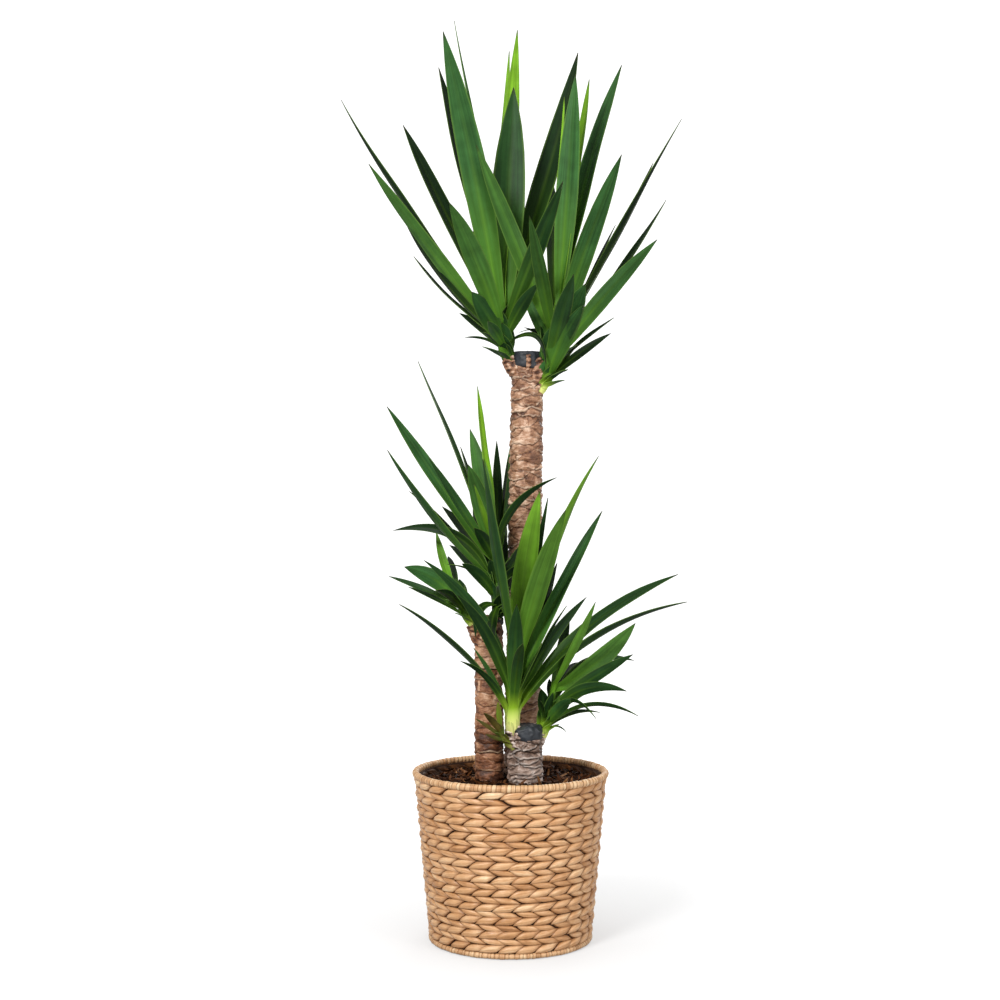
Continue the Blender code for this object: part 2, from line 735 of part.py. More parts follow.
def main():
    clear_scene()
    basket_weave()
    border("basket_rim", RIM_RADIUS, RIM_HEIGHT - RIM_TUBE, RIM_TUBE, RIM_WRAPS)
    border("basket_foot", FOOT_RADIUS, FOOT_TUBE + GAP, FOOT_TUBE, FOOT_WRAPS)
    nursery_pot()
    soil()
    canes = {name: cane(name) for name in CANES}
    caps = {name: wax_cap(name) for name in CANES}
    for name, stations in KNOBS.items():
        points, faces = loft(stem_rings(stations, extra=GAP))
        boolean(caps[name], "DIFFERENCE", solid(f"knob_room_{name}", points, faces, "cane_bark"))
        points, faces = loft(stem_rings(stations))
        boolean(canes[name], "UNION", solid(f"knob_{name}", points, faces, "cane_bark"))
    carve_sockets(canes, caps)
    for name in SHOOTS:
        shoot(name)


main()
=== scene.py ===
"""The looks of a potted yucca: sword leaves, scarred bark, wax seals, potting mix and a plaited basket.

Lengths are in millimetres until a mesh is made. The origin is the middle of the basket's underside,
+Z is up and -Y is the front.
"""

import math
import random

import bmesh
import bpy
import numpy as np
from mathutils import Euler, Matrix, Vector, noise


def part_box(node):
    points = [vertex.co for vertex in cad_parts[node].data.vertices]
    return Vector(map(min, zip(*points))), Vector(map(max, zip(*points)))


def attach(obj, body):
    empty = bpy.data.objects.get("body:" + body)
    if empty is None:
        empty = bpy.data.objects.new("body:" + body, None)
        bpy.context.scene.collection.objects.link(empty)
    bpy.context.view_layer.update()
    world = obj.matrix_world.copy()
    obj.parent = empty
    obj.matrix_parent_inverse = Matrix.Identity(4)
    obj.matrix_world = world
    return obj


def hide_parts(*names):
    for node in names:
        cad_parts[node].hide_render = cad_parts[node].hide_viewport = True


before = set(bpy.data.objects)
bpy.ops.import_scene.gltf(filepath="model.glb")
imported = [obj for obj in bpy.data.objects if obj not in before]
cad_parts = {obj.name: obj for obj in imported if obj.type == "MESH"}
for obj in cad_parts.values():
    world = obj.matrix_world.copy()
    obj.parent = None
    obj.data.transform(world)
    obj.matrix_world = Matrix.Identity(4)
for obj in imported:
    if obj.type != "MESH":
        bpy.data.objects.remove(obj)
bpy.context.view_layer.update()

MM = 0.001
GAP = 0.3
UP = Vector((0, 0, 1))

# Basket
BASKET_TOP_RADIUS = 155.5  # crown of the strands under the rim
BASKET_FOOT_RADIUS = 130.5
BASKET_WALL = 9.5
BASKET_FLOOR = 8.0
RIM_HEIGHT = 270.0
RIM_TUBE = 5.6
RIM_RADIUS = 151.4
FOOT_TUBE = 4.5
FOOT_RADIUS = 126.5
FLOOR_RADIUS = 121.4
STRANDS = 28
RISING_ROWS = 12
FALLING_SHARE = 0.78
WRAP_WIDTH = 6.6

# Nursery pot and soil
POT_FLOOR_RADIUS = 97.0
POT_LIP_RADIUS = 139.5
POT_LIP_STEP = 4.0
POT_LIP_DROP = 12.0
POT_TOP = 253.0
POT_WALL = 2.0
POT_SIDES = 96
SOIL_EDGE = 249.0
SOIL_TOP = 254.0

# Canes: foot x, top x, y, foot radius, top radius, foot height, top height, wax skirt
CANES = {
    "tall": (17.0, 27.8, 50.0, 30.0, 25.6, 55.0, 940.0, 20.0),
    "mid": (-34.0, -34.5, -5.0, 23.0, 22.6, 60.0, 514.0, 14.0),
    "short": (22.6, 23.2, -30.0, 27.6, 26.6, 65.0, 343.0, 20.0),
}
BARK_START = 236.0
LIP_PLACE = 1.5  # over the lower edge of a leaf scar
LIP_WIDTH = 1.6
SEAM_WIDTH = 1.9
NOWHERE = 1000.0  # further than any scar reaches
WAX_SKIN = 1.4
GOLDEN_TURN = math.radians(137.5)  # from each leaf scar to the next, up the cane

# Where the crown was looked at from, level with its middle
EYE = Vector((-16.8, -2600.0, 700.0))
LENS = 58.5
SENSOR = 36.0

# Leaf blades
BLADE_COLUMNS = 8
BLADE_ROWS = 30
BLADE_THICKNESS = 1.0
BLADE_WIDTH_SHARE = 0.08  # full width of a leaf against its length
BLADE_CHANNEL = 0.13  # rise of the edges over the midrib, share of the width
BLADE_PLACES = (0.0, 0.08, 0.2, 0.34, 0.47, 0.6, 0.72, 0.83, 0.91, 0.965, 1.0)
BLADE_WIDTHS = (0.52, 0.5, 0.74, 0.93, 1.0, 0.95, 0.82, 0.6, 0.36, 0.16, 0.02)

# Leaf tones, from darkest to brightest: partly each leaf's own colour, from the oldest to the youngest, and
# partly painted light, as D paints the shade on leaves deep in the crown and on leaf backs, and G paints a
# grey-green sheen on dark leaves
D, G, M, B = 0.0, 0.33, 0.62, 1.0

# A shoot's stem, from its root in the cane to its growing tip: seen x, seen height, depth, radius.
# Its leaves run from the bottom of the crown to the top, each as the tip's seen x, seen height and depth,
# the width that shows from the front, the arch as a share of the leaf's length, and the tone.
# Seen places are those on the upright plane through the basket's middle.
SHOOTS = {
    "tall_left": {
        "stem": (
            (12, 904, 48, 8),
            (-2, 922, 45, 9),
            (-9, 942, 42, 13),
            (-12, 975, 40, 12),
            (-14, 1030, 42, 5),
        ),
        "crown": (0.45, 0.93),
        "leaves": (
            (-73, 960, 40, 4, 0.12, D),
            (19, 966, 10, 4, 0.10, D),
            (-82, 999, 110, 14, 0.04, D),
            (-36, 986, -60, 18, 0.02, 0.5),
            (-62, 1033, -40, 32, 0.04, 0.5),
            (57, 912, 2, 8, 0.40, D),
            (-155, 1090, 80, 7, -0.04, D),
            (-173, 1155, 0, 11, -0.05, D),
            (44, 1046, -45, 22, 0.05, G),
            (-227, 1238, -50, 20, -0.02, M),
            (-98, 1176, -190, 34, 0.03, M),
            (-60, 1130, 290, 26, 0.06, D),
            (-271, 1340, 30, 6, -0.03, D),
            (84, 1210, -110, 28, 0.0, G),
            (-172, 1300, 190, 28, 0.0, D),
            (-20, 1215, 290, 30, 0.04, D),
            (-115, 1392, 200, 27, 0.0, D),
            (-108, 1450, -30, 44, 0.01, M),
            (5, 1360, 85, 56, 0.0, G),
            (108, 1416, 200, 34, -0.02, D),
            (-90, 1467, 110, 5, 0.0, M),
            (-2, 1418, 190, 14, 0.0, B),
            (11, 1452, 165, 24, 0.0, B),
        ),
    },
    "tall_right": {
        "stem": (
            (32, 862, 46, 8),
            (50, 880, 42, 10),
            (60, 905, 38, 13),
            (69, 950, 38, 13),
            (78, 1030, 42, 5),
        ),
        "crown": (0.36, 0.95),
        "leaves": (
            (161, 967, 10, 14, 0.03, D),
            (110, 952, 60, 5, 0.0, D),
            (120, 1046, -120, 40, 0.02, 0.55),
            (22, 976, 70, 9, 0.26, D),
            (166, 992, 70, 6, 0.03, D),
            (14, 968, 95, 8, 0.36, D),
            (101, 1061, -150, 28, 0.02, 0.5),
            (117, 1012, -100, 24, 0.03, 0.4),
            (130, 1090, 260, 24, 0.08, D),
            (235, 1117, -40, 27, 0.02, M),
            (168, 1140, 160, 7, 0.0, D),
            (249, 1180, 110, 8, -0.03, D),
            (18, 1032, 85, 20, 0.05, M),
            (274, 1310, 10, 6, 0.0, D),
            (228, 1239, 140, 8, -0.02, D),
            (178, 1253, -90, 32, 0.02, M),
            (30, 1155, -150, 22, 0.0, M),
            (-55, 1268, -15, 28, 0.0, M),
            (60, 1235, 290, 30, 0.04, D),
            (127, 1242, 160, 9, 0.0, D),
            (178, 1396, 130, 24, 0.03, 0.45),
            (126, 1373, 70, 18, 0.0, B),
            (86, 1345, 110, 6, 0.0, B),
            (104, 1381, 15, 36, 0.0, M),
        ),
    },
    "mid_main": {
        "stem": (
            (-34, 490, -8, 7),
            (-22, 510, -12, 9),
            (-19, 532, -10, 12),
            (-21, 575, -4, 11),
            (-26, 640, 0, 4),
        ),
        "crown": (0.45, 0.95),
        "leaves": (
            (-101, 597, -35, 4, 0.18, D),
            (-30, 448, -62, 16, 0.30, D),
            (-56, 480, -58, 13, 0.34, D),
            (2, 462, -52, 15, 0.30, D),
            (-6, 560, -96, 20, 0.10, G),
            (-98, 628, 30, 20, 0.08, D),
            (-78, 598, -70, 19, 0.08, G),
            (34, 640, 40, 22, 0.06, D),
            (20, 596, -50, 17, 0.10, D),
            (-12, 650, 80, 26, 0.06, D),
            (-48, 642, 70, 26, 0.06, D),
            (-188, 651, 30, 17, 0.22, 0.2),
            (-162, 714, 80, 7, 0.03, D),
            (-60, 690, 190, 26, 0.06, D),
            (-197, 780, -40, 14, -0.04, 0.5),
            (74, 736, -14, 12, 0.2, 0.3),
            (-14, 668, 200, 26, 0.08, D),
            (-110, 690, 160, 18, 0.04, D),
            (-22, 795, 110, 18, -0.03, D),
            (8, 815, 185, 16, 0.0, M),
            (-3, 770, 112, 9, 0.0, D),
            (-80, 785, 90, 9, 0.0, D),
            (-198, 850, 20, 22, 0.0, M),
            (-58, 655, -70, 20, 0.06, D),
            (-131, 768, -60, 15, 0.0, M),
            (-68, 757, -80, 30, 0.03, M),
            (-148, 922, 60, 6, 0.0, 0.4),
            (-58, 725, -96, 8, 0.0, B),
            (-65, 814, 30, 27, 0.02, M),
            (-53, 882, 40, 11, 0.0, B),
        ),
    },
    "mid_left": {
        "stem": (
            (-50, 488, -8, 6),
            (-64, 506, -10, 7),
            (-70, 516, -10, 9),
            (-80, 536, -8, 8),
            (-92, 562, -6, 3),
        ),
        "crown": (0.42, 0.94),
        "leaves": (
            (-164, 561, 10, 7, 0.03, D),
            (-120, 555, -120, 14, 0.08, D),
            (-195, 578, 40, 9, 0.03, 0.25),
            (-130, 570, 110, 14, 0.08, D),
            (-170, 593, -50, 27, 0.08, 0.58),
            (-100, 610, 120, 14, 0.05, D),
            (-119, 650, 62, 14, -0.05, 0.8),
        ),
    },
    "short_left": {
        "stem": (
            (14, 312, -38, 8),
            (4, 332, -44, 11),
            (3, 350, -44, 13),
            (5, 385, -46, 12),
            (9, 440, -48, 4),
        ),
        "crown": (0.42, 0.93),
        "leaves": (
            (-80, 442, -110, 11, 0.12, G),
            (-59, 463, -80, 9, 0.04, M),
            (-178, 533, -75, 11, 0.07, 0.2),
            (283, 537, -50, 12, 0.1, 0.3),
            (20, 470, -210, 18, 0.1, 0.3),
            (268, 581, 10, 16, 0.08, 0.35),
            (90, 531, -75, 6, 0.03, D),
            (75, 600, -2, 22, 0.02, D),
            (122, 545, -10, 18, 0.05, 0.25),
            (-85, 548, -140, 20, 0.08, G),
            (10, 533, -150, 26, 0.05, 0.36),
            (-139, 604, -85, 21, 0.1, 0.42),
            (147, 683, -12, 21, 0.02, 0.55),
            (141, 770, -70, 12, 0.05, 0.86),
            (60, 704, -30, 13, 0.0, G),
            (36, 640, -22, 26, 0.0, M),
            (-44, 765, -150, 16, 0.0, G),
            (88, 684, -110, 34, 0.03, 0.72),
            (47, 714, -70, 37, 0.03, 0.94),
        ),
    },
    "short_right": {
        "stem": (
            (38, 308, -26, 7),
            (50, 322, -22, 9),
            (56, 340, -20, 10),
            (62, 368, -20, 9),
            (70, 410, -20, 3),
        ),
        "crown": (0.36, 0.94),
        "leaves": (
            (90, 328, -30, 2.5, 0.25, D),
            (143, 360, 20, 5, 0.12, D),
            (205, 354, -40, 7, 0.18, G),
            (48, 379, -66, 5, 0.1, D),
            (97, 382, -90, 20, 0.03, M),
            (137, 350, -90, 8, 0.3, G),
            (186, 394, -85, 19, 0.17, 0.3),
            (137, 402, -40, 14, 0.05, M),
            (110, 440, 130, 14, 0.1, D),
            (198, 443, 40, 14, 0.22, 0.45),
            (196, 453, -60, 20, 0.02, 0.3),
            (150, 450, 120, 14, 0.1, D),
            (62, 414, 10, 10, 0.0, D),
            (94, 520, 60, 18, 0.0, D),
            (200, 503, 0, 30, -0.05, 0.68),
            (136, 537, -130, 13, -0.02, 0.76),
        ),
    },
    "short_low": {
        "stem": (
            (8, 300, -44, 4),
            (-5, 312, -50, 5),
            (-12, 322, -53, 5),
            (-18, 334, -55, 2),
        ),
        "crown": (0.4, 0.9),
        "leaves": (
            (-40, 325, -85, 6, 0.0, M),
            (-56, 350, -60, 6, 0.02, M),
            (-43, 359, -95, 10, 0.05, D),
            (-20, 378, -70, 9, 0.0, B),
        ),
    },
}

# A short woody knob that carries a shoot: cane, then seen x, seen height, depth, radius
KNOBS = {
    "mid": (
        ((-38, 462, -7, 14), (-52, 484, -9, 13), (-61, 501, -10, 10)),
        ((-34, 474, -16, 17), (-31, 494, -16, 16), (-27, 514, -13, 11)),
    ),
    "tall": (
        ((16, 902, 48, 16), (2, 918, 46, 14), (-5, 930, 44, 10)),
        ((36, 872, 40, 10), (42, 900, 36, 12), (44, 929, 36, 8)),
        ((28, 908, 27, 3), (29.5, 921, 23, 4), (28.5, 933, 24, 3.2)),
    ),
    "short": (
        ((8, 306, -44, 9), (2, 320, -46, 10), (0, 331, -45, 8)),
        ((41, 304, -26, 8), (46, 316, -24, 9), (49, 326, -23, 8)),
        ((10, 316, -50, 8), (13, 328, -47, 8), (13, 338, -44, 5)),
    ),
}

# A strand between its two seams: places along it, its lower and upper edge there as shares of the row's
# height, and how far it swells out of the wall as a share of its relief
STRAND_U = (0.0, 0.07, 0.17, 0.31, 0.48, 0.65, 0.8, 0.92, 1.0)
STRAND_LOWER = (0.0, -0.03, -0.04, -0.04, -0.02, 0.07, 0.38, 0.74, 0.93)
STRAND_UPPER = (0.06, 0.42, 0.7, 0.94, 1.03, 1.05, 1.03, 1.0, 0.97)
STRAND_SWELL = (0.42, 0.7, 0.88, 1.0, 1.0, 0.92, 0.7, 0.45, 0.25)
STRAND_SIDES = 8

# The bare stem's radius against the radius with its sheaths
STEM_SHARE = 0.68

# Distance in mm from the root of a shoot over which its leaves and stem are pale
PALE_REACH = {
    "tall_left": 17.0,
    "tall_right": 34.0,
    "mid_main": 10.0,
    "mid_left": 20.0,
    "short_left": 68.0,
    "short_right": 34.0,
    "short_low": 14.0,
}

# On a shoot whose foot shows, each sheath runs down to it, this far in mm outside the next one up
SHOWN_FOOT = "short_left"
SHEATH_LAYER = 0.13

# How many short leaves clasp the foot of each shoot
BRACTS = {
    "tall_left": 17,
    "tall_right": 16,
    "mid_main": 16,
    "mid_left": 10,
    "short_left": 0,
    "short_right": 7,
    "short_low": 4,
}

# How far the leaves of a shoot in the shade have yellowed and browned
WORN = {"short_low": 1.0}


# Materials


def linear(hex_colour):
    """An sRGB hex colour as linear RGBA."""
    parts = [int(hex_colour[i : i + 2], 16) / 255 for i in (1, 3, 5)]
    return [p / 12.92 if p <= 0.04045 else ((p + 0.055) / 1.055) ** 2.4 for p in parts] + [1.0]


def add(tree, kind, links=(), ramp=(), inputs=(), **settings):
    """A shader node with its settings, its constants, its colour stops and its links."""
    made = tree.nodes.new("ShaderNode" + kind)
    for name, value in settings.items():
        setattr(made, name, value)
    for k, (place, value) in enumerate(ramp):
        stops = made.color_ramp.elements
        stop = stops[k] if k < len(stops) else stops.new(place)
        stop.position = place
        stop.color = linear(value) if isinstance(value, str) else (value, value, value, 1.0)
    for name, value in dict(inputs).items():
        made.inputs[name].default_value = linear(value) if isinstance(value, str) else value
    for name, source in dict(links).items():
        tree.links.new(source, made.inputs[name])
    return made


def surface(name, roughness, ior=1.45, shine=0.5):
    """A new material with its node tree and its Principled shader."""
    made = bpy.data.materials.new(name)
    made.use_nodes = True
    shader = made.node_tree.nodes["Principled BSDF"]
    for setting, value in (("Roughness", roughness), ("IOR", ior), ("Specular IOR Level", shine)):
        shader.inputs[setting].default_value = value
    return made, made.node_tree, shader


def toned(tree, tone, noises, low, high, stops):
    """A colour off the stops: the tone with each noise added at its weight, spread from low to high."""
    for source, weight in noises:
        links = {0: source, 2: tone}
        tone = add(tree, "Math", operation="MULTIPLY_ADD", links=links, inputs={1: weight}).outputs[0]
    spread = add(tree, "MapRange", links={0: tone}, inputs={1: low, 2: high}).outputs[0]
    return add(tree, "ValToRGB", links={"Fac": spread}, ramp=stops).outputs["Color"]


def overlaid(tree, colour, layers):
    """Lays tints over a colour. A tint's share is the product of its factors, each a source and its
    range: from, to, low, high."""
    for factors, tint in layers:
        share = None
        for source, *span in factors:
            part = add(tree, "MapRange", links={0: source}, inputs=dict(enumerate(span, 1))).outputs[0]
            if share is not None:
                part = add(tree, "Math", operation="MULTIPLY", links={0: share, 1: part}).outputs[0]
            share = part
        mixed = add(tree, "Mix", data_type="RGBA", links={0: share, 6: colour}, inputs={7: tint})
        colour = mixed.outputs[2]
    return colour


def coat(tree, shader, colour, height, strength, depth):
    """Gives a shader its colour and a fine relief, whose depth is in metres."""
    relief = add(tree, "Bump", links={"Height": height}, inputs={"Strength": strength, "Distance": depth})
    tree.links.new(colour, shader.inputs["Base Color"])
    tree.links.new(relief.outputs[0], shader.inputs["Normal"])


def leaf_surface():
    """Yucca leaf: a tough, waxy skin over straight veins, so satin light with fine lengthwise streaks."""
    made, tree, shader = surface("yucca_leaf_skin", roughness=0.46, ior=1.42, shine=0.13)
    grain = add(tree, "Attribute", attribute_name="blade_run").outputs["Vector"]
    pale = add(tree, "Attribute", attribute_name="blade_pale").outputs["Fac"]
    worn = add(tree, "Attribute", attribute_name="blade_worn").outputs["Fac"]
    tint = add(tree, "Attribute", attribute_name="blade_tint")
    parts = add(tree, "SeparateColor", links={"Color": tint.outputs["Color"]})
    tone, along, across = (parts.outputs[n] for n in ("Red", "Green", "Blue"))
    chance = tint.outputs["Alpha"]
    # Leaves grow from their base, so the veins run the whole length. They stand about 0.8 mm apart and
    # are drawn 3 mm apart so that they show.
    veins = add(tree, "Mapping", links={"Vector": grain}, inputs={"Scale": (330, 6, 1)}).outputs[0]
    broad = add(tree, "Mapping", links={"Vector": grain}, inputs={"Scale": (110, 5, 1)}).outputs[0]
    place = add(tree, "TexCoord").outputs["Object"]
    streak, band, patch = (
        add(tree, "TexNoise", links={"Vector": source}, inputs=settings).outputs["Fac"]
        for source, settings in (
            (veins, {"Scale": 1.0, "Detail": 3.0}),
            (broad, {"Scale": 1.0, "Detail": 1.0}),
            (place, {"Scale": 38.0, "Detail": 2.0}),
        )
    )
    # The darkest stop is partly painted shade and the grey-green one a painted sheen, as the leaf tones
    # say.
    greens = ((0.0, "#10240D"), (0.33, "#1F3D1A"), (0.62, "#30572A"), (1.0, "#74A626"))
    colour = add(tree, "ValToRGB", links={"Fac": tone}, ramp=greens).outputs["Color"]
    level = add(tree, "MapRange", links={0: chance}, inputs={3: 0.84, 4: 1.2}).outputs[0]
    for source, low, high in ((streak, 0.76, 1.24), (band, 0.8, 1.2), (patch, 0.82, 1.16)):
        span = {1: 0.3, 2: 0.7, 3: low, 4: high}
        part = add(tree, "MapRange", links={0: source}, inputs=span).outputs[0]
        level = add(tree, "Math", operation="MULTIPLY", links={0: level, 1: part}).outputs[0]
    colour = add(tree, "HueSaturation", links={"Color": colour, "Value": level}).outputs["Color"]
    growing = (
        # The keel is paler and yellower than the blade, most of all in the lower half of the leaf.
        (((across, 0.0, 0.25, 0.26, 0.0), (along, 0.1, 0.75, 1.0, 0.1)), "#7DAA2C"),
        # The lower blade holds less green and turns lime, and where it clasps the stem it is cream.
        (((along, 0.0, 0.55, 0.6, 0.0), (tone, 0.0, 1.0, 0.3, 1.0)), "#6FA81C"),
        (((pale, 0.05, 0.7, 0.0, 0.92),), "#A3CC30"),
        (((pale, 0.5, 0.95, 0.0, 0.9),), "#EFEB98"),
    )
    colour = overlaid(tree, colour, growing)
    # Neighbouring leaves differ a little at their pale feet too.
    level = add(tree, "MapRange", links={0: chance}, inputs={3: 0.8, 4: 1.08}).outputs[0]
    colour = add(tree, "HueSaturation", links={"Color": colour, "Value": level}).outputs["Color"]
    ageing = (
        # The margin is a thin horny line.
        (((across, 0.84, 1.0, 0.0, 0.5),), "#6A8A38"),
        # Shaded leaves low on the plant go olive and brown in patches.
        (((patch, 0.35, 0.6, 0.25, 0.75), (worn, 0.0, 1.0, 0.0, 1.0)), "#6B5A2A"),
        # The needle at the tip is dry and brown.
        (((along, 0.96, 1.0, 0.0, 0.85),), "#2E2818"),
    )
    coat(tree, shader, overlaid(tree, colour, ageing), streak, 0.5, 0.0005)
    return made


def bark_surface(name, stops, lip_highlight_colour, seam_shade_colour, roughness, relief):
    """Yucca bark: dry corky leaf scars, pale on their lips, partly worn cork and partly painted highlight,
    and dark in the seams under them, partly real cracks and partly painted shade.
    """
    made, tree, shader = surface(name, roughness)
    scar = add(tree, "Attribute", attribute_name="scar")
    parts = add(tree, "SeparateColor", links={"Color": scar.outputs["Color"]})
    tone, groove, lip = (parts.outputs[n] for n in ("Red", "Green", "Blue"))
    place = add(tree, "TexCoord").outputs["Object"]
    # Cork wrinkles lie level round the cane, about 3 mm apart.
    level = add(tree, "Mapping", links={"Vector": place}, inputs={"Scale": (75, 75, 300)}).outputs[0]
    wrinkle, blot = (
        add(tree, "TexNoise", links={"Vector": source}, inputs=settings).outputs["Fac"]
        for source, settings in (
            (level, {"Scale": 1.0, "Detail": 4.0, "Distortion": 1.6}),
            (place, {"Scale": 75.0, "Detail": 5.0, "Roughness": 0.62}),
        )
    )
    colour = toned(tree, tone, ((wrinkle, 0.8), (blot, 1.2)), 1.05, 1.95, stops)
    # The seams are darkened, partly as real cracks and partly as painted shade, and the lips paled, partly
    # as worn cork and partly as painted highlight.
    worn = ((((groove, 0.1, 1.0, 0.0, 0.92),), seam_shade_colour), (((lip, 0.2, 1.0, 0.0, 0.5),), lip_highlight_colour))
    rough = add(tree, "Math", operation="ADD", links={0: wrinkle, 1: blot}).outputs[0]
    coat(tree, shader, overlaid(tree, colour, worn), rough, 0.9, relief)
    return made


def hyacinth_surface(name, stops, shade, pitch, shine=0.5):
    """Dried water hyacinth: flattened stalks with a soft lengthwise grain and a low straw-like gloss."""
    made, tree, shader = surface(name, roughness=0.36, ior=1.5, shine=shine)
    grain = add(tree, "Attribute", attribute_name="strand_run").outputs["Vector"]
    tint = add(tree, "Attribute", attribute_name="strand_tint")
    parts = add(tree, "SeparateColor", links={"Color": tint.outputs["Color"]})
    tone, along, across = (parts.outputs[n] for n in ("Red", "Green", "Blue"))
    place = add(tree, "TexCoord").outputs["Object"]
    # The fibres of a stalk are finer than the pitch in mm, at which they are drawn so that they show.
    lengthwise = {"Scale": (28, 1000 / pitch, 1)}
    fibre = add(tree, "Mapping", links={"Vector": grain}, inputs=lengthwise).outputs[0]
    streak, blot = (
        add(tree, "TexNoise", links={"Vector": source}, inputs=settings).outputs["Fac"]
        for source, settings in (
            (fibre, {"Scale": 1.0, "Detail": 4.0, "Distortion": 0.25}),
            (place, {"Scale": 70.0, "Detail": 3.0}),
        )
    )
    colour = toned(tree, tone, ((streak, 1.5), (blot, 0.8)), 1.0, 2.3, stops)
    # Painted shade: stalks are darker where they dive under their neighbours, and along their edges.
    dark = ((((along, 0.45, 1.0, 0.0, 0.75),), shade), (((across, 0.6, 1.0, 0.0, 0.75),), shade))
    coat(tree, shader, overlaid(tree, colour, dark), streak, 0.9, 0.0014)
    return made


def plain_surface(name, hex_low, hex_high, roughness, scale, bump=0.3, depth=0.0005, shine=0.5):
    """A surface of one stuff that varies between two colours, with a fine relief."""
    made, tree, shader = surface(name, roughness, shine=shine)
    place = add(tree, "TexCoord").outputs["Object"]
    settings = {"Scale": scale, "Detail": 5.0, "Roughness": 0.6}
    cloud = add(tree, "TexNoise", links={"Vector": place}, inputs=settings).outputs["Fac"]
    ramp = add(tree, "ValToRGB", links={"Fac": cloud}, ramp=((0.3, hex_low), (0.7, hex_high)))
    coat(tree, shader, ramp.outputs["Color"], cloud, bump, depth)
    return made


def tinted_surface(name, stops, roughness, scale, depth=0.0006):
    """Loose bits of one kind, each with a tone of its own."""
    made, tree, shader = surface(name, roughness, shine=0.05)
    tone = add(tree, "Attribute", attribute_name="bit_tone").outputs["Fac"]
    place = add(tree, "TexCoord").outputs["Object"]
    settings = {"Scale": scale, "Detail": 4.0}
    cloud = add(tree, "TexNoise", links={"Vector": place}, inputs=settings).outputs["Fac"]
    coat(tree, shader, toned(tree, tone, ((cloud, 0.5),), 0.15, 1.35, stops), cloud, 0.5, depth)
    return made


# Modelling


def within(value):
    """The value kept between 0 and 1."""
    return min(1.0, max(0.0, value))


def deselect():
    """Leaves edit mode and selects nothing, before anything is modelled."""
    if bpy.context.object and bpy.context.object.mode != "OBJECT":
        bpy.ops.object.mode_set(mode="OBJECT")
    bpy.ops.object.select_all(action="DESELECT")


def settle(obj, name, material, nodes=()):
    """Names a finished piece, gives it its material and ties it to the plant's one body."""
    obj.name = name
    obj.data.name = name
    obj.data.materials.clear()
    obj.data.materials.append(material)
    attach(obj, "root")
    if nodes:
        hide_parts(*nodes)
    return obj


def smooth(obj, angle=60):
    """Shades smooth, but for edges sharper than this many degrees."""
    deselect()
    obj.select_set(True)
    bpy.context.view_layer.objects.active = obj
    bpy.ops.object.shade_smooth_by_angle(angle=math.radians(angle))


def joined(objects):
    """One object of several, with their attributes kept."""
    deselect()
    for obj in objects:
        obj.select_set(True)
    bpy.context.view_layer.objects.active = objects[0]
    bpy.ops.object.join()
    return bpy.context.object


def mesh_of(name, points, faces):
    """A mesh object from points in mm and faces."""
    mesh = bpy.data.meshes.new(name)
    mesh.from_pydata((np.asarray(points, float) * MM).tolist(), [], faces)
    obj = bpy.data.objects.new(name, mesh)
    bpy.context.scene.collection.objects.link(obj)
    return obj


def outwards(obj, merge=0.0):
    """Merges doubles where asked and turns every face outwards."""
    shape = bmesh.new()
    shape.from_mesh(obj.data)
    if merge:
        bmesh.ops.remove_doubles(shape, verts=shape.verts, dist=merge * MM)
    bmesh.ops.recalc_face_normals(shape, faces=shape.faces)
    shape.to_mesh(obj.data)
    shape.free()
    obj.data.update()


def corners(obj):
    """The places of a mesh's vertices, as rows of metres."""
    return np.array([v.co[:] for v in obj.data.vertices])


def modelled(obj):
    """The points in mm and the faces of a piece that was modelled to be copied, which is then removed."""
    points = corners(obj) / MM
    faces = [tuple(p.vertices) for p in obj.data.polygons]
    bpy.data.objects.remove(obj, do_unlink=True)
    return points, faces


def copies(name, faces, laid):
    """One mesh of many copies: laid holds each copy's points in mm."""
    count = len(laid[0])
    every = [tuple(v + k * count for v in face) for k in range(len(laid)) for face in faces]
    return mesh_of(name, np.concatenate(laid), every)


def value_attribute(obj, name, values):
    """A number for each vertex."""
    made = obj.data.attributes.new(name, "FLOAT", "POINT")
    made.data.foreach_set("value", np.asarray(values, dtype=np.float32))


def vector_attribute(obj, name, values):
    """A vector for each vertex."""
    made = obj.data.attributes.new(name, "FLOAT_VECTOR", "POINT")
    made.data.foreach_set("vector", np.asarray(values, dtype=np.float32).ravel())


def colour_attribute(obj, name, values):
    """A colour for each vertex, from rows of up to four values."""
    rows = np.ones((len(obj.data.vertices), 4), dtype=np.float32)
    values = np.asarray(values, dtype=np.float32)
    rows[:, : values.shape[1]] = values
    made = obj.data.attributes.new(name, "FLOAT_COLOR", "POINT")
    made.data.foreach_set("color", rows.ravel())


def grained(points, across, up):
    """Smooth noise from -1 to 1 at points in mm, with lumps this wide across and this high."""
    return np.array([2 * noise.noise((x / across, y / across, z / up)) for x, y, z in points])


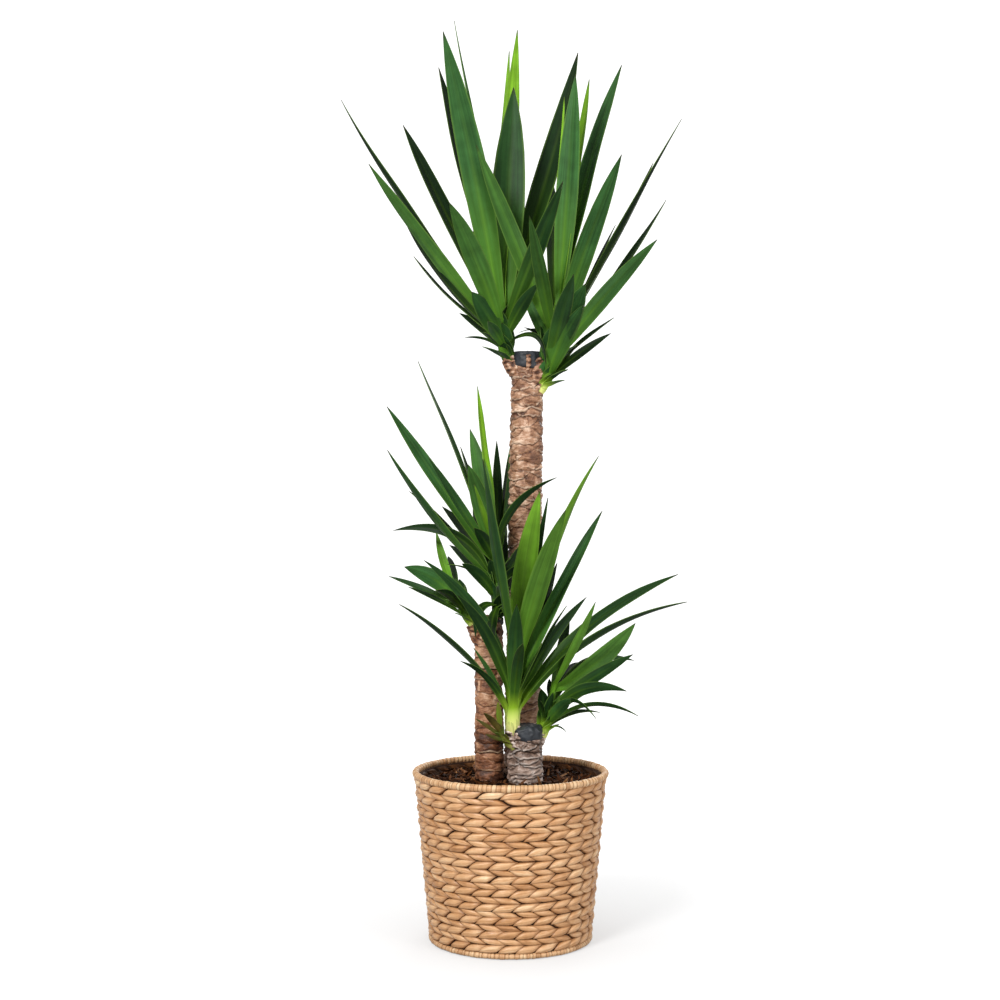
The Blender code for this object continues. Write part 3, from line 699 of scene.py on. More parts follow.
def extruded_rings(sides, stations):
    """A closed form along X, extruded from a disc. A station is x, half width in Y and half depth in Z."""
    deselect()
    x, wide, deep = stations[0]
    bpy.ops.mesh.primitive_circle_add(
        vertices=sides, radius=MM, fill_type="NGON", location=(x * MM, 0, 0), rotation=(0, math.pi / 2, 0)
    )
    obj = bpy.context.object
    bpy.ops.object.transform_apply(location=True, rotation=True, scale=True)
    bpy.ops.object.mode_set(mode="EDIT")
    bpy.ops.mesh.select_all(action="SELECT")
    bpy.ops.transform.resize(value=(1, wide, deep), center_override=(x * MM, 0, 0))
    for k in range(1, len(stations)):
        step = stations[k][0] - stations[k - 1][0]
        bpy.ops.mesh.extrude_region_move(TRANSFORM_OT_translate={"value": (step * MM, 0, 0)})
        ratio = (1, stations[k][1] / stations[k - 1][1], stations[k][2] / stations[k - 1][2])
        bpy.ops.transform.resize(value=ratio, center_override=(stations[k][0] * MM, 0, 0))
    bpy.ops.mesh.select_all(action="SELECT")
    bpy.ops.mesh.normals_make_consistent(inside=False)
    bpy.ops.object.mode_set(mode="OBJECT")
    return obj


def turned(sides, profile):
    """A form turned round Z: a disc at the first (radius, height), extruded ring by ring to the last."""
    deselect()
    radius, height = profile[0]
    bpy.ops.mesh.primitive_circle_add(
        vertices=sides, radius=radius * MM, fill_type="NGON", location=(0, 0, height * MM)
    )
    obj = bpy.context.object
    bpy.ops.object.transform_apply(location=True, rotation=False, scale=False)
    bpy.ops.object.mode_set(mode="EDIT")
    bpy.ops.mesh.select_all(action="SELECT")
    for k in range(1, len(profile)):
        rise = profile[k][1] - profile[k - 1][1]
        bpy.ops.mesh.extrude_region_move(TRANSFORM_OT_translate={"value": (0, 0, rise * MM)})
        ratio = profile[k][0] / profile[k - 1][0]
        bpy.ops.transform.resize(value=(ratio, ratio, 1), center_override=(0, 0, profile[k][1] * MM))
    bpy.ops.mesh.select_all(action="SELECT")
    bpy.ops.mesh.normals_make_consistent(inside=False)
    bpy.ops.object.mode_set(mode="OBJECT")
    return obj


def ring_faces(sides, rings):
    """The faces of a closed form of rings of points, with a face across each end."""
    faces = []
    for low in range(0, (rings - 1) * sides, sides):
        for i in range(sides):
            n = (i + 1) % sides
            faces.append((low + i, low + n, low + sides + n, low + sides + i))
    return faces + [tuple(range(sides)), tuple(range((rings - 1) * sides, rings * sides))]


# Basket


def basket_radius(height):
    """Outer radius of the wall, which widens evenly from the foot to the rim."""
    share = height / RIM_HEIGHT
    return BASKET_FOOT_RADIUS + (BASKET_TOP_RADIUS - BASKET_FOOT_RADIUS) * share


def row_heights():
    """Heights of the seams between the rows of strands, from the foot to the rim."""
    low = 2 * FOOT_TUBE + 2 * GAP
    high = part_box("basket_rim")[0][2] / MM - GAP
    rising = (high - low) / (RISING_ROWS + (RISING_ROWS - 1) * FALLING_SHARE)
    heights = [low]
    for row in range(2 * RISING_ROWS - 1):
        heights.append(heights[-1] + (rising * FALLING_SHARE if row % 2 else rising))
    return heights


def strand_form():
    """A strand modelled once: a round stalk with a ring at each place where its outline turns."""
    stations = tuple((u, 1.0, 1.0) for u in STRAND_U)
    return modelled(extruded_rings(STRAND_SIDES, stations))


def strand_outline(points):
    """For each corner of a strand: its place, 0 at the lower seam to 1 at the upper one, and its swell."""
    u, y, _ = points.T
    rows = STRAND_LOWER, STRAND_UPPER, STRAND_SWELL
    lower, upper, swell = (np.interp(u, STRAND_U, row) for row in rows)
    return lower + (upper - lower) * (y + 1) / 2, swell


def strand_ends(points):
    """For each corner of a strand: 0 near its middle, rising to 1 at the ends that dive under."""
    return np.abs(points[:, 0] - 0.45) / 0.55


def strand_points(points, place, low, high, length, rising, relief, inset, inward=False):
    """A strand laid on the basket's wall between two seams, domed, with both its ends tucked in."""
    u, _, z = points.T
    v, swell = strand_outline(points)
    up = low + (high - low) * (v if rising else 1 - v)
    dome, back = 0.8, 2.5
    out = np.where(z > 0, relief * swell * np.abs(z) ** dome, back * z)
    base = basket_radius(up) - inset
    radius = base - out if inward else base + out
    turn = place + (u - 0.5) * length / basket_radius((low + high) / 2)
    return np.stack((radius * np.cos(turn), radius * np.sin(turn), up), axis=1)


def strand(points, run, shift, tone, ends, edges):
    """A strand for a plait: its points, where its fibres run in mm, and its tone, ends and edges."""
    flat = np.zeros(len(points))
    runs = np.stack((run[0] * MM + shift, run[1] * MM + shift, flat), 1)
    return points, runs, np.stack((flat + tone, flat + ends, edges), 1)


def plait(faces, strands, angle):
    """One mesh of many strands."""
    laid, runs, tints = zip(*strands)
    obj = copies("plait", faces, laid)
    vector_attribute(obj, "strand_run", np.concatenate(runs))
    colour_attribute(obj, "strand_tint", np.concatenate(tints))
    outwards(obj)
    smooth(obj, angle)
    return obj


def basket_weave(surface_strand, shaded_wall_surface, shaded_inside_surface):
    """Rows of plaited strands: broad ones rising to the right, with narrower ones falling between them."""
    chance = random.Random(7)
    points, faces = strand_form()
    heights = row_heights()
    pitch = 2 * math.pi / STRANDS
    ends, edges = strand_ends(points), np.abs(points[:, 1])

    def lay(place, low, high, length, rising, relief, inset, tone, inward=False):
        shaped = strand_points(points, place, low, high, length, rising, relief, inset, inward)
        run = points[:, 0] * length, points[:, 1] * (high - low) / 2
        return strand(shaped, run, chance.uniform(0, 9), tone, ends, edges)

    # Shares of a strand's pitch: how far on each pair of rows starts, and how loosely it is made
    drift_step, row_slip, strand_slip = 0.075, 0.06, 0.07
    reliefs = {True: (5.1, 6.0), False: (4.3, 5.1)}
    outer = []
    for k in range(len(heights) - 1):
        rising = k % 2 == 0
        drift = drift_step * (k // 2) + chance.uniform(-row_slip, row_slip)
        arc = pitch * basket_radius((heights[k] + heights[k + 1]) / 2)
        phase = chance.uniform(0, 2 * math.pi)
        for j in range(STRANDS):
            place = -(j + drift + chance.uniform(-strand_slip, strand_slip)) * pitch
            wave = 0.55 * math.sin(place * 2 + phase) + chance.uniform(-0.45, 0.45)
            low = heights[k] + wave - chance.uniform(0, 0.9)
            high = heights[k + 1] + wave + chance.uniform(0, 0.9)
            # The falling rows sit deeper between the rising ones, and are painted a tenth darker as shade.
            tone = within(chance.gauss(0.5, 0.15)) * (1.0 if rising else 0.9)
            relief = chance.uniform(*reliefs[rising])
            inset = 5.5 if rising else 6.0
            length = arc * chance.uniform(1.32, 1.5)
            outer.append(lay(place, low, high, length, rising, relief, inset, tone))
    settle(plait(faces, outer, 75), "basket_strands", surface_strand, ["basket_weave"])
    # The same plait shows on the inside, over the soil, in a darkened copy of the stalk's material that
    # paints the shade there. Rows are in mm from the top.
    inner = []
    for low, high, rising in ((-11.0, 0.0, True), (-20.0, -11.0, False), (-31.0, -20.0, True)):
        for j in range(STRANDS):
            place = (j + chance.uniform(-0.1, 0.1)) * pitch
            low_seam, high_seam = heights[-1] + low, heights[-1] + high
            tone = chance.uniform(0.1, 0.7)
            inner.append(lay(place, low_seam, high_seam, 42.0, rising, 2.6, 10.3, tone, inward=True))
    settle(plait(faces, inner, 75), "basket_inner_strands", shaded_inside_surface)
    low, high = heights[0], heights[-1]
    core = turned(
        96,
        (
            (FLOOR_RADIUS - 3, 1.2),
            (FLOOR_RADIUS, 1.6),
            (FLOOR_RADIUS + 1, low),
            (basket_radius(low) - 6.5, low + 1),
            (basket_radius(high) - 6.5, high + 1.5),
            (basket_radius(high) - BASKET_WALL - 1.5, high + 1.5),
            (basket_radius(BASKET_FLOOR) - 12.5, BASKET_FLOOR),
            (20, BASKET_FLOOR),
        ),
    )
    smooth(core, 40)
    settle(core, "basket_core", shaded_wall_surface, ["basket_weave"])
    base_plait(points, faces, surface_strand)


def base_plait(points, faces, surface_strand):
    """The plait goes on under the floor, in rings round the middle, flattened by the weight it carries."""
    chance = random.Random(19)
    ring_width, strand_length, overlap = 11.0, 30.0, 1.25
    outermost = FLOOR_RADIUS - 6.5
    underside, relief = 1.7, 1.55
    u, y, z = points.T
    share, swell = strand_outline(points)
    strands = []
    for ring in range(int(outermost / ring_width - 0.5) + 1):
        radius = outermost - ring * ring_width
        count = max(4, round(2 * math.pi * radius / strand_length))
        side = 1 if ring % 2 else -1
        reach = radius + side * (share - 0.5) * ring_width * 1.04
        length = 2 * math.pi * radius / count * overlap
        for j in range(count):
            turn = 2 * math.pi * (j + chance.uniform(-0.08, 0.08) + (u - 0.5) * overlap) / count
            height = underside - swell * relief * z
            shaped = np.stack((reach * np.cos(turn), reach * np.sin(turn), height), 1)
            shift, tone = chance.uniform(0, 9), within(chance.gauss(0.35, 0.15))
            run = u * length, y * ring_width / 2
            strands.append(strand(shaped, run, shift, tone, strand_ends(points), np.abs(y)))
    settle(plait(faces, strands, 75), "basket_base_plait", surface_strand)


def border(name, radius, height, thickness, node, surface_binding, seed):
    """A border whipped with flat strips: each turn of binding is one strip, swollen between its edges."""
    chance = random.Random(seed)
    outline = ((-0.5, 0.9), (-0.36, 1.0), (0.0, 1.035), (0.36, 1.0), (0.5, 0.9))
    points, faces = modelled(extruded_rings(12, [(x, size, size) for x, size in outline]))
    x, y, z = points.T
    turns = round(2 * math.pi * radius / WRAP_WIDTH)
    widths = [chance.uniform(0.6, 1.45) for _ in range(turns)]
    strips, place = [], 0.0
    for width in widths:
        share = 2 * math.pi * width / sum(widths)
        middle = place + share / 2
        place += share
        size = thickness * chance.uniform(0.9, 1.04)
        slant = (0.16 + chance.uniform(-0.16, 0.16)) * 0.35
        turn = middle + x * share * 1.02 + slant * z * thickness / radius
        reach = radius + y * size
        shaped = np.stack((reach * np.cos(turn), reach * np.sin(turn), height + z * size), 1)
        shift, tone = chance.uniform(0, 9), within(chance.gauss(0.55, 0.2))
        run = np.arctan2(z, y) * thickness, x * WRAP_WIDTH
        strips.append(strand(shaped, run, shift, tone, 0.0, np.abs(x) * 2))
    return settle(plait(faces, strips, 50), name, surface_binding, [node])


# Pot and soil


def pot_inside(height):
    """Inner radius of the pot at a height."""
    low, high = POT_FLOOR_RADIUS - POT_WALL, POT_LIP_RADIUS - POT_LIP_STEP - POT_WALL
    foot = BASKET_FLOOR + GAP + POT_WALL
    return low + (high - low) * (height - foot) / (POT_TOP - foot)


def nursery_pot(surface_pot):
    """The grower's pot: a thin moulded cone with a stepped lip that is rounded over at the top."""
    foot = BASKET_FLOOR + GAP
    lip = POT_TOP - POT_LIP_DROP
    neck = POT_LIP_RADIUS - POT_LIP_STEP
    inner = neck - POT_WALL
    profile = (
        (12, foot),
        (POT_FLOOR_RADIUS - 2, foot),
        (POT_FLOOR_RADIUS, foot + 2),
        (neck - 1, lip - 1),
        (POT_LIP_RADIUS - 0.8, lip),
        (POT_LIP_RADIUS, lip + 1),
        (POT_LIP_RADIUS, POT_TOP - 1),
        (POT_LIP_RADIUS - 0.9, POT_TOP),
        (inner + 0.8, POT_TOP),
        (inner, POT_TOP - 1),
        (POT_FLOOR_RADIUS - POT_WALL, foot + POT_WALL),
        (12, foot + POT_WALL),
    )
    pot = turned(POT_SIDES, profile)
    smooth(pot, 50)
    return settle(pot, "grower_pot", surface_pot, ["nursery_pot"])


def soil_height(x, y):
    """Height of the soil at a place in mm: a low heap with clods."""
    edge = pot_inside(SOIL_EDGE)
    far = np.minimum(1.0, np.hypot(x, y) / edge)
    heap = SOIL_EDGE + (SOIL_TOP - SOIL_EDGE) * (1 - far**2)
    clods = 1.5 * np.sin(x / 8.3 + 1.3 * np.sin(y / 11.0)) * np.cos(y / 7.1 + 0.9 * np.sin(x / 9.0))
    crumbs = 0.8 * np.sin(x / 2.9 + y / 4.1) * np.cos(y / 2.3 - x / 3.7)
    return heap + (clods + crumbs) * (1 - 0.5 * far**4)


def soil_bed(surface_soil):
    """The potting mix: a disc of soil with clods, closed below, that fills the pot."""
    deselect()
    cells = 110
    bpy.ops.mesh.primitive_grid_add(x_subdivisions=cells, y_subdivisions=cells, size=2.0)
    bed = bpy.context.object
    x, y, _ = corners(bed).T
    disc_x, disc_y = x * np.sqrt(1 - y * y / 2), y * np.sqrt(1 - x * x / 2)
    reach = pot_inside(SOIL_EDGE) - 2 * GAP
    px, py = disc_x * reach, disc_y * reach
    points = np.stack((px, py, soil_height(px, py)), 1) * MM
    bed.data.vertices.foreach_set("co", points.ravel())
    bpy.ops.object.mode_set(mode="EDIT")
    bpy.ops.mesh.select_all(action="DESELECT")
    bpy.ops.mesh.select_mode(type="EDGE")
    bpy.ops.mesh.select_non_manifold()
    foot = BASKET_FLOOR + POT_WALL + 2 * GAP
    shrink = (pot_inside(foot) - 2 * GAP) / reach
    bpy.ops.mesh.extrude_region_move(TRANSFORM_OT_translate={"value": (0, 0, (foot - SOIL_EDGE) * MM)})
    bpy.ops.transform.resize(value=(shrink, shrink, 0), center_override=(0, 0, foot * MM))
    bpy.ops.mesh.edge_face_add()
    bpy.ops.mesh.select_all(action="SELECT")
    bpy.ops.mesh.normals_make_consistent(inside=False)
    bpy.ops.object.mode_set(mode="OBJECT")
    smooth(bed, 50)
    return settle(bed, "potting_mix", surface_soil, ["soil"])


def off_canes(x, y, room):
    """True where a bit of this size would clear every cane."""
    for foot_x, _, cane_y, foot_radius, _, _, _, _ in CANES.values():
        if math.hypot(x - foot_x - 1.5, y - cane_y) < foot_radius + room:
            return False
    return True


def loose_bits(name, form, count, sizes, flat, sink, surface_bits, seed, inner=0.0):
    """Bits strewn on the soil: copies of one form, each of its own size, turn and tilt."""
    chance = random.Random(seed)
    points, faces = form
    laid, tones = [], []
    reach = pot_inside(SOIL_EDGE)
    while len(laid) < count:
        far = reach * math.sqrt(chance.uniform(inner, 1))
        around = chance.uniform(0, 2 * math.pi)
        x, y = far * math.cos(around), far * math.sin(around)
        long = chance.uniform(*sizes)
        if far > reach - long * 0.45 or not off_canes(x, y, long * 0.3):
            continue
        size = np.array((long, long * chance.uniform(0.35, 0.75), long * chance.uniform(*flat)))
        turn = chance.uniform(0, 2 * math.pi)
        roll, pitch = chance.gauss(0, 0.35), chance.gauss(0, 0.3)
        tilted = (points * size / 2) @ np.array(Euler((roll, pitch, turn)).to_matrix()).T
        ground = float(soil_height(np.array(x), np.array(y)))
        laid.append(tilted + (x, y, ground + size[2] * 0.5 - long * sink))
        tones += [chance.random()] * len(points)
    bits = copies(name, faces, laid)
    value_attribute(bits, "bit_tone", tones)
    outwards(bits)
    smooth(bits, 35)
    return settle(bits, name, surface_bits)


def chip_form():
    """A bark chip, modelled once: a block with its edges bevelled and one end split narrower."""
    deselect()
    bpy.ops.mesh.primitive_cube_add(size=2 * MM)
    obj = bpy.context.object
    bpy.ops.object.mode_set(mode="EDIT")
    bpy.ops.mesh.select_all(action="SELECT")
    bpy.ops.mesh.bevel(offset=0.36 * MM, segments=1)
    bpy.ops.object.mode_set(mode="OBJECT")
    for vertex in obj.data.vertices:
        x, y, z = vertex.co / MM
        vertex.co.y *= 0.78 - 0.24 * x + 0.12 * math.sin(5 * z)
        vertex.co.z *= 0.9 + 0.3 * math.sin(3.1 * x + 2 * y)
    return modelled(obj)


def shred_form():
    """A shred of bark, modelled once: a long flat strip that narrows, curls up and swings to one side."""
    long = (-1.0, -0.7, -0.25, 0.25, 0.7, 1.0)
    wide = (0.1, 0.3, 0.4, 0.36, 0.24, 0.08)
    deep = (0.3, 0.7, 1.0, 0.9, 0.7, 0.3)
    points, faces = modelled(extruded_rings(5, tuple(zip(long, wide, deep))))
    points[:, 2] += 1.6 * (points[:, 0] ** 2 - 0.4)
    points[:, 1] += 0.45 * points[:, 0] ** 2
    return points, faces


def fibres(surface_fibre):
    """Coir threads that lie loose on the soil: thin curled tubes."""
    chance = random.Random(31)
    threads = []
    reach = pot_inside(SOIL_EDGE) - 4
    while len(threads) < 90:
        far = reach * math.sqrt(chance.random())
        around = chance.uniform(0, 2 * math.pi)
        x, y = far * math.cos(around), far * math.sin(around)
        if not off_canes(x, y, 3):
            continue
        heading, bend = chance.uniform(0, 2 * math.pi), chance.uniform(-0.5, 0.5)
        curve = bpy.data.curves.new("thread", "CURVE")
        curve.dimensions = "3D"
        curve.bevel_depth = chance.uniform(0.25, 0.55) * MM
        curve.bevel_resolution = 0
        curve.resolution_u = 2
        curve.use_fill_caps = True
        line = curve.splines.new("POLY")
        steps = 7
        line.points.add(steps - 1)
        for k in range(steps):
            ground = float(soil_height(np.array(x), np.array(y)))
            lift = 1.0 + 2.2 * math.sin(math.pi * k / (steps - 1)) * chance.uniform(0.2, 1)
            inside = min(1.0, reach / max(1.0, math.hypot(x, y)))
            line.points[k].co = (x * inside * MM, y * inside * MM, (ground + lift) * MM, 1)
            heading += bend * chance.uniform(0.3, 1.5)
            x, y = x + 4.2 * math.cos(heading), y + 4.2 * math.sin(heading)
        obj = bpy.data.objects.new("thread", curve)
        bpy.context.scene.collection.objects.link(obj)
        threads.append(obj)
    deselect()
    for obj in threads:
        obj.select_set(True)
    bpy.context.view_layer.objects.active = threads[0]
    bpy.ops.object.convert(target="MESH")
    whole = joined(list(bpy.context.selected_objects))
    smooth(whole, 80)
    return settle(whole, "coir_fibres", surface_fibre)


# Canes


def placed(x, height, depth):
    """The point at a depth behind the middle plane that is seen at this x and height on that plane."""
    return EYE + (Vector((x, 0.0, height)) - EYE) * (1 - depth / EYE.y)


def along_stem(stem, share):
    """Middle and radius of a stem at a share of its stations."""
    place = share * (len(stem) - 1)
    k = min(int(place), len(stem) - 2)
    rest = place - k
    low, high = (placed(*stem[i][:3]) for i in (k, k + 1))
    return low.lerp(high, rest), stem[k][3] + (stem[k + 1][3] - stem[k][3]) * rest


def stem_run(stem, share):
    """The direction in which a stem grows at a share of its stations."""
    ahead, _ = along_stem(stem, min(1.0, share + 0.04))
    behind, _ = along_stem(stem, max(0.0, share - 0.04))
    return (ahead - behind).normalized()


def tube(name, stations, sides, rings):
    """A smooth tube through stations of seen x, seen height, depth and radius, closed at both ends."""
    points = []
    for k in range(rings + 1):
        middle, radius = along_stem(stations, k / rings)
        run = stem_run(stations, k / rings)
        side = run.cross(Vector((0, 1, 0))).normalized()
        up = side.cross(run)
        for i in range(sides):
            turn = 2 * math.pi * i / sides
            points.append((middle + (side * math.cos(turn) + up * math.sin(turn)) * radius)[:])
    obj = mesh_of(name, points, ring_faces(sides, rings + 1))
    outwards(obj)
    smooth(obj, 80)
    return obj


def cane_centre(name, height):
    """Where a cane's middle is at a height: it leans a little to one side."""
    foot_x, top_x, y, _, _, foot, top, _ = CANES[name]
    share = (height - foot) / (top - foot)
    return foot_x + (top_x - foot_x) * share, y


def cane_radius(name, height):
    """Radius of a cane, which narrows evenly from the soil to the cut."""
    _, _, _, foot_radius, top_radius, _, top, _ = CANES[name]
    share = np.clip((height - BARK_START) / (top - BARK_START), 0, 1)
    return foot_radius + (top_radius - foot_radius) * share


def scar_field(turn, height, radius, top, seed, spacing, sag, half_width, plump):
    """Relief in mm, tone, seam and lip for each point of a bark sheet that overlapping scars cover."""
    chance = random.Random(seed)
    edge, above, tone, lift, strong, deep = (
        np.full(turn.shape, start) for start in (-NOWHERE, NOWHERE, 0.5, 0.0, 1.0, 1.0)
    )
    wander = grained(np.stack((radius * np.cos(turn), radius * np.sin(turn), height), 1), 9.0, 9.0)
    place, count = BARK_START - 4 * spacing, 0
    while place < top:
        centre = count * GOLDEN_TURN + chance.uniform(-0.4, 0.4)
        wide = half_width * chance.uniform(0.6, 1.35)
        drop = sag * chance.uniform(0.2, 2.0)
        slope, phase = chance.uniform(-0.22, 0.22), chance.uniform(0, 2 * math.pi)
        shade, rise, force = chance.random(), chance.uniform(-0.5, 0.9), chance.uniform(-0.2, 1.3)
        arc = ((turn - centre + math.pi) % (2 * math.pi) - math.pi) * radius
        u = arc / wide
        lens = np.sqrt(np.clip(1 - u * u, 0, 1))
        ragged = 1.1 * np.sin(arc / 6.3 + phase) + 1.4 * wander
        line = place + drop * (1 - lens) + slope * arc + ragged
        over = (np.abs(u) < 1) & (line > height)
        deep = np.where(over & (line - height < above), lens, deep)
        above = np.where(over, np.minimum(above, line - height), above)
        under = (np.abs(u) < 1) & (line <= height) & (line > edge)
        edge = np.where(under, line, edge)
        tone = np.where(under, shade, tone)
        lift = np.where(under, rise * lens, lift)
        strong = np.where(under, max(0.0, force) * lens, strong)
        place += spacing * chance.uniform(0.45, 1.55)
        count += 1
    # Each scar bulges over the one below it, has a raised lip along its lower edge and a seam over that.
    # The bark paints the lip pale, partly as worn cork and partly as highlight, and the seam dark, partly
    # as crack and partly as shade.
    inside = height - edge
    whole = np.clip(inside + above, 2.0, 40.0)
    bulge = np.sin(math.pi * np.clip(inside / whole, 0, 1) ** 0.75) * np.clip(whole / 9.0, 0, 1)
    lip = np.exp(-(((inside - LIP_PLACE) / LIP_WIDTH) ** 2)) * strong
    groove = np.exp(-((above / SEAM_WIDTH) ** 2)) * (0.35 + 0.65 * deep)
    return -1.5 + lift + plump * bulge + 0.9 * lip - 1.1 * groove, tone, groove, lip


def knob(stations):
    """A woody knob, as under a shoot: a short tube, creased and lumpy like the cane."""
    obj = tube("knob", stations, 40, rings=30)
    places = corners(obj) / MM
    lumps = grained(places, 8.0, 4.0)
    fine = grained(places + 40, 3.5, 2.0)
    size = min(1.0, stations[0][3] / 9.0)
    for vertex, lump, crease in zip(obj.data.vertices, lumps, fine):
        vertex.co += vertex.normal * ((1.8 * lump + 0.4 * crease) * size * MM)
    # The colour follows the lumps: darker in the hollows, partly dark cork and partly painted shade, and
    # paler on the lump tops, partly worn cork and partly painted highlight.
    shade = 0.42 + 0.35 * np.clip(lumps, -1, 1)
    groove = np.clip(-1.6 * lumps - 0.45, 0, 1)
    colour_attribute(obj, "scar", np.stack((shade, groove, np.clip(1.1 * lumps - 0.5, 0, 1)), 1))
    obj.data.update()
    return obj


def cane(name, surface_bark, seed, spacing, sag, half_width, columns, step, stain, plump, fold):
    """A cane whose bark is modelled as a flat sheet of overlapping leaf scars, then rolled and closed."""
    _, _, _, foot_radius, _, foot, top, skirt = CANES[name]
    rows = int((top - BARK_START) / step)
    deselect()
    bpy.ops.mesh.primitive_grid_add(x_subdivisions=columns, y_subdivisions=rows, size=1.0)
    sheet = bpy.context.object
    flat = corners(sheet)
    turn = (flat[:, 0] + 0.5) * 2 * math.pi
    height = BARK_START + (flat[:, 1] + 0.5) * (top - GAP - BARK_START)
    radius = cane_radius(name, height)
    # The last column closes on the first one, so it takes the same scars.
    turn_once = np.where(turn >= 2 * math.pi - 1e-6, 0.0, turn)
    scars = scar_field(turn_once, height, radius, top, seed, spacing, sag, half_width, plump)
    relief, tone, groove, lip = scars
    place = np.stack((radius * np.cos(turn_once), radius * np.sin(turn_once), height), 1)
    grains = ((1.0, 24.0, 15.0), (fold, 12.0, 4.5), (0.35 * fold, 5.0, 2.6))
    lumps = sum(size * grained(place, across, up) for size, across, up in grains)
    under_wax = np.clip((height - (top - skirt - 1)) / 4, 0, 1)
    shoulder = 3.2 * np.clip((height - (top - 5)) / 5, 0, 1) ** 2
    reach = radius + (relief + lumps) * (1 - under_wax) - WAX_SKIN * under_wax - shoulder
    centre_x, centre_y = cane_centre(name, height)
    points = np.stack((centre_x + reach * np.cos(turn), centre_y + reach * np.sin(turn), height), 1)
    sheet.data.vertices.foreach_set("co", (points * MM).ravel())
    # Bark browns towards the soil. Next to the wax it is a touch paler, and its lips, pale partly as worn
    # cork and partly as painted highlight, are fainter.
    worn_height, stained_height = 26.0, 170.0
    worn = np.clip(1 - (top - height) / worn_height, 0, 1)
    low = np.clip((BARK_START + stained_height - height) / stained_height, 0, 1)
    tone = 0.5 + 0.45 * (tone - 0.5) + 0.16 * np.clip(lumps, -1.5, 1.5) + 0.02 * worn - stain * low
    colour_attribute(sheet, "scar", np.stack((tone, groove, lip * (1 - 0.3 * worn)), 1))
    bpy.ops.object.mode_set(mode="EDIT")
    bpy.ops.mesh.select_all(action="SELECT")
    bpy.ops.mesh.remove_doubles(threshold=1e-6)
    bpy.ops.mesh.select_mode(type="EDGE")
    bpy.ops.mesh.select_all(action="DESELECT")
    bpy.ops.mesh.select_non_manifold()
    bpy.ops.mesh.fill_holes(sides=0)
    bpy.ops.object.mode_set(mode="OBJECT")
    outwards(sheet)
    smooth(sheet, 70)
    buried = turned(32, ((foot_radius, foot), (foot_radius, BARK_START + 2)))
    shift = Vector((*cane_centre(name, BARK_START), 0)) * MM
    for vertex in buried.data.vertices:
        vertex.co += shift
    outwards(buried)
    whole = joined([sheet, buried] + [knob(stations) for stations in KNOBS[name]])
    return settle(whole, f"bark_{name}", surface_bark, [f"cane_{name}"])


def wax_cap(name, surface_wax, hem, rounding, crumple):
    """Sealing wax: a skin over the cut, with a round shoulder, a hem that ran and folds pressed into it."""
    _, _, _, _, top_radius, _, top, skirt = CANES[name]
    outer = top_radius + 0.5
    columns, ring_step = 96, 1.5
    # Radius, height over the skirt's foot, and how far the hoop follows the hem
    hoops = (
        (outer - 1.5, -1.0, 1.0),
        (outer - 0.9, -0.2, 1.0),
        (outer, 0.6, 1.0),
        (outer + 0.2, 2.4, 0.75),
        (outer, 6.0, 0.3),
        (outer - 0.1, skirt - 1.5 - rounding, 0.0),
        (outer - 0.3 - 0.3 * rounding, skirt - 0.8 - 0.45 * rounding, 0.0),
        (outer - 1.2 - 0.75 * rounding, skirt + 0.6, 0.0),
        (outer - 3.5 - rounding, skirt + 1.2, 0.0),
        (outer * 0.35, skirt + 1.0, 0.0),
    )
    rings = [hoops[0]]
    for near, far in zip(hoops, hoops[1:]):
        count = max(1, round(math.hypot(far[0] - near[0], far[1] - near[1]) / ring_step))
        for k in range(1, count + 1):
            rings.append(tuple(a + (b - a) * k / count for a, b in zip(near, far)))
    x0, y0 = cane_centre(name, top)
    points = []
    for radius, rise, hang in rings:
        for i in range(columns):
            turn = 2 * math.pi * i / columns
            lump = 0.35 * math.sin(3 * turn + rise * 0.7) + 0.25 * math.sin(7 * turn - rise)
            r = radius + lump * (0.4 if hang else 0.8)
            place = Vector((r * math.cos(turn), r * math.sin(turn), rise))
            # A fold is a sharp ridge where slow noise crosses zero, higher away from the hem.
            folds = 0.0
            for wide in (17, 11):
                slow = noise.noise(place / wide + Vector((wide, 0, 0)))
                folds += max(0.0, 1 - 3.4 * abs(slow))
            out = crumple * folds * min(1.0, max(0.0, rise - 1.5) / 6)
            place += out * Vector((place.x, place.y, 1.4 * max(0.0, rise - skirt + 6))).normalized()
            points.append((x0 + place.x, y0 + place.y, top - skirt + place.z + hem(turn) * hang))
    cap = mesh_of("wax", points, ring_faces(columns, len(rings)))
    outwards(cap)
    smooth(cap, 70)
    return settle(cap, f"wax_seal_{name}", surface_wax, [f"wax_cap_{name}"])


# Leaves


def blade_sheet():
    """A leaf blade modelled once, flat: a grid whose rows run from the base to the tip."""
    deselect()
    bpy.ops.mesh.primitive_grid_add(x_subdivisions=BLADE_COLUMNS, y_subdivisions=BLADE_ROWS, size=2 * MM)
    return modelled(bpy.context.object)


def width_axis(run, away, shown):
    """Unit width axis, square to the run, that shows this share of the width from the front."""
    back = Vector((0, 1, 0))
    flat = run.cross(back).normalized()
    deep = run.cross(flat)
    natural = Vector((0, 0, 1)).cross(away)
    shown = min(1.0, shown)
    hidden = math.sqrt(1 - shown * shown)
    across = flat * math.copysign(shown, natural.dot(flat))
    return across + deep * math.copysign(hidden, natural.dot(deep))


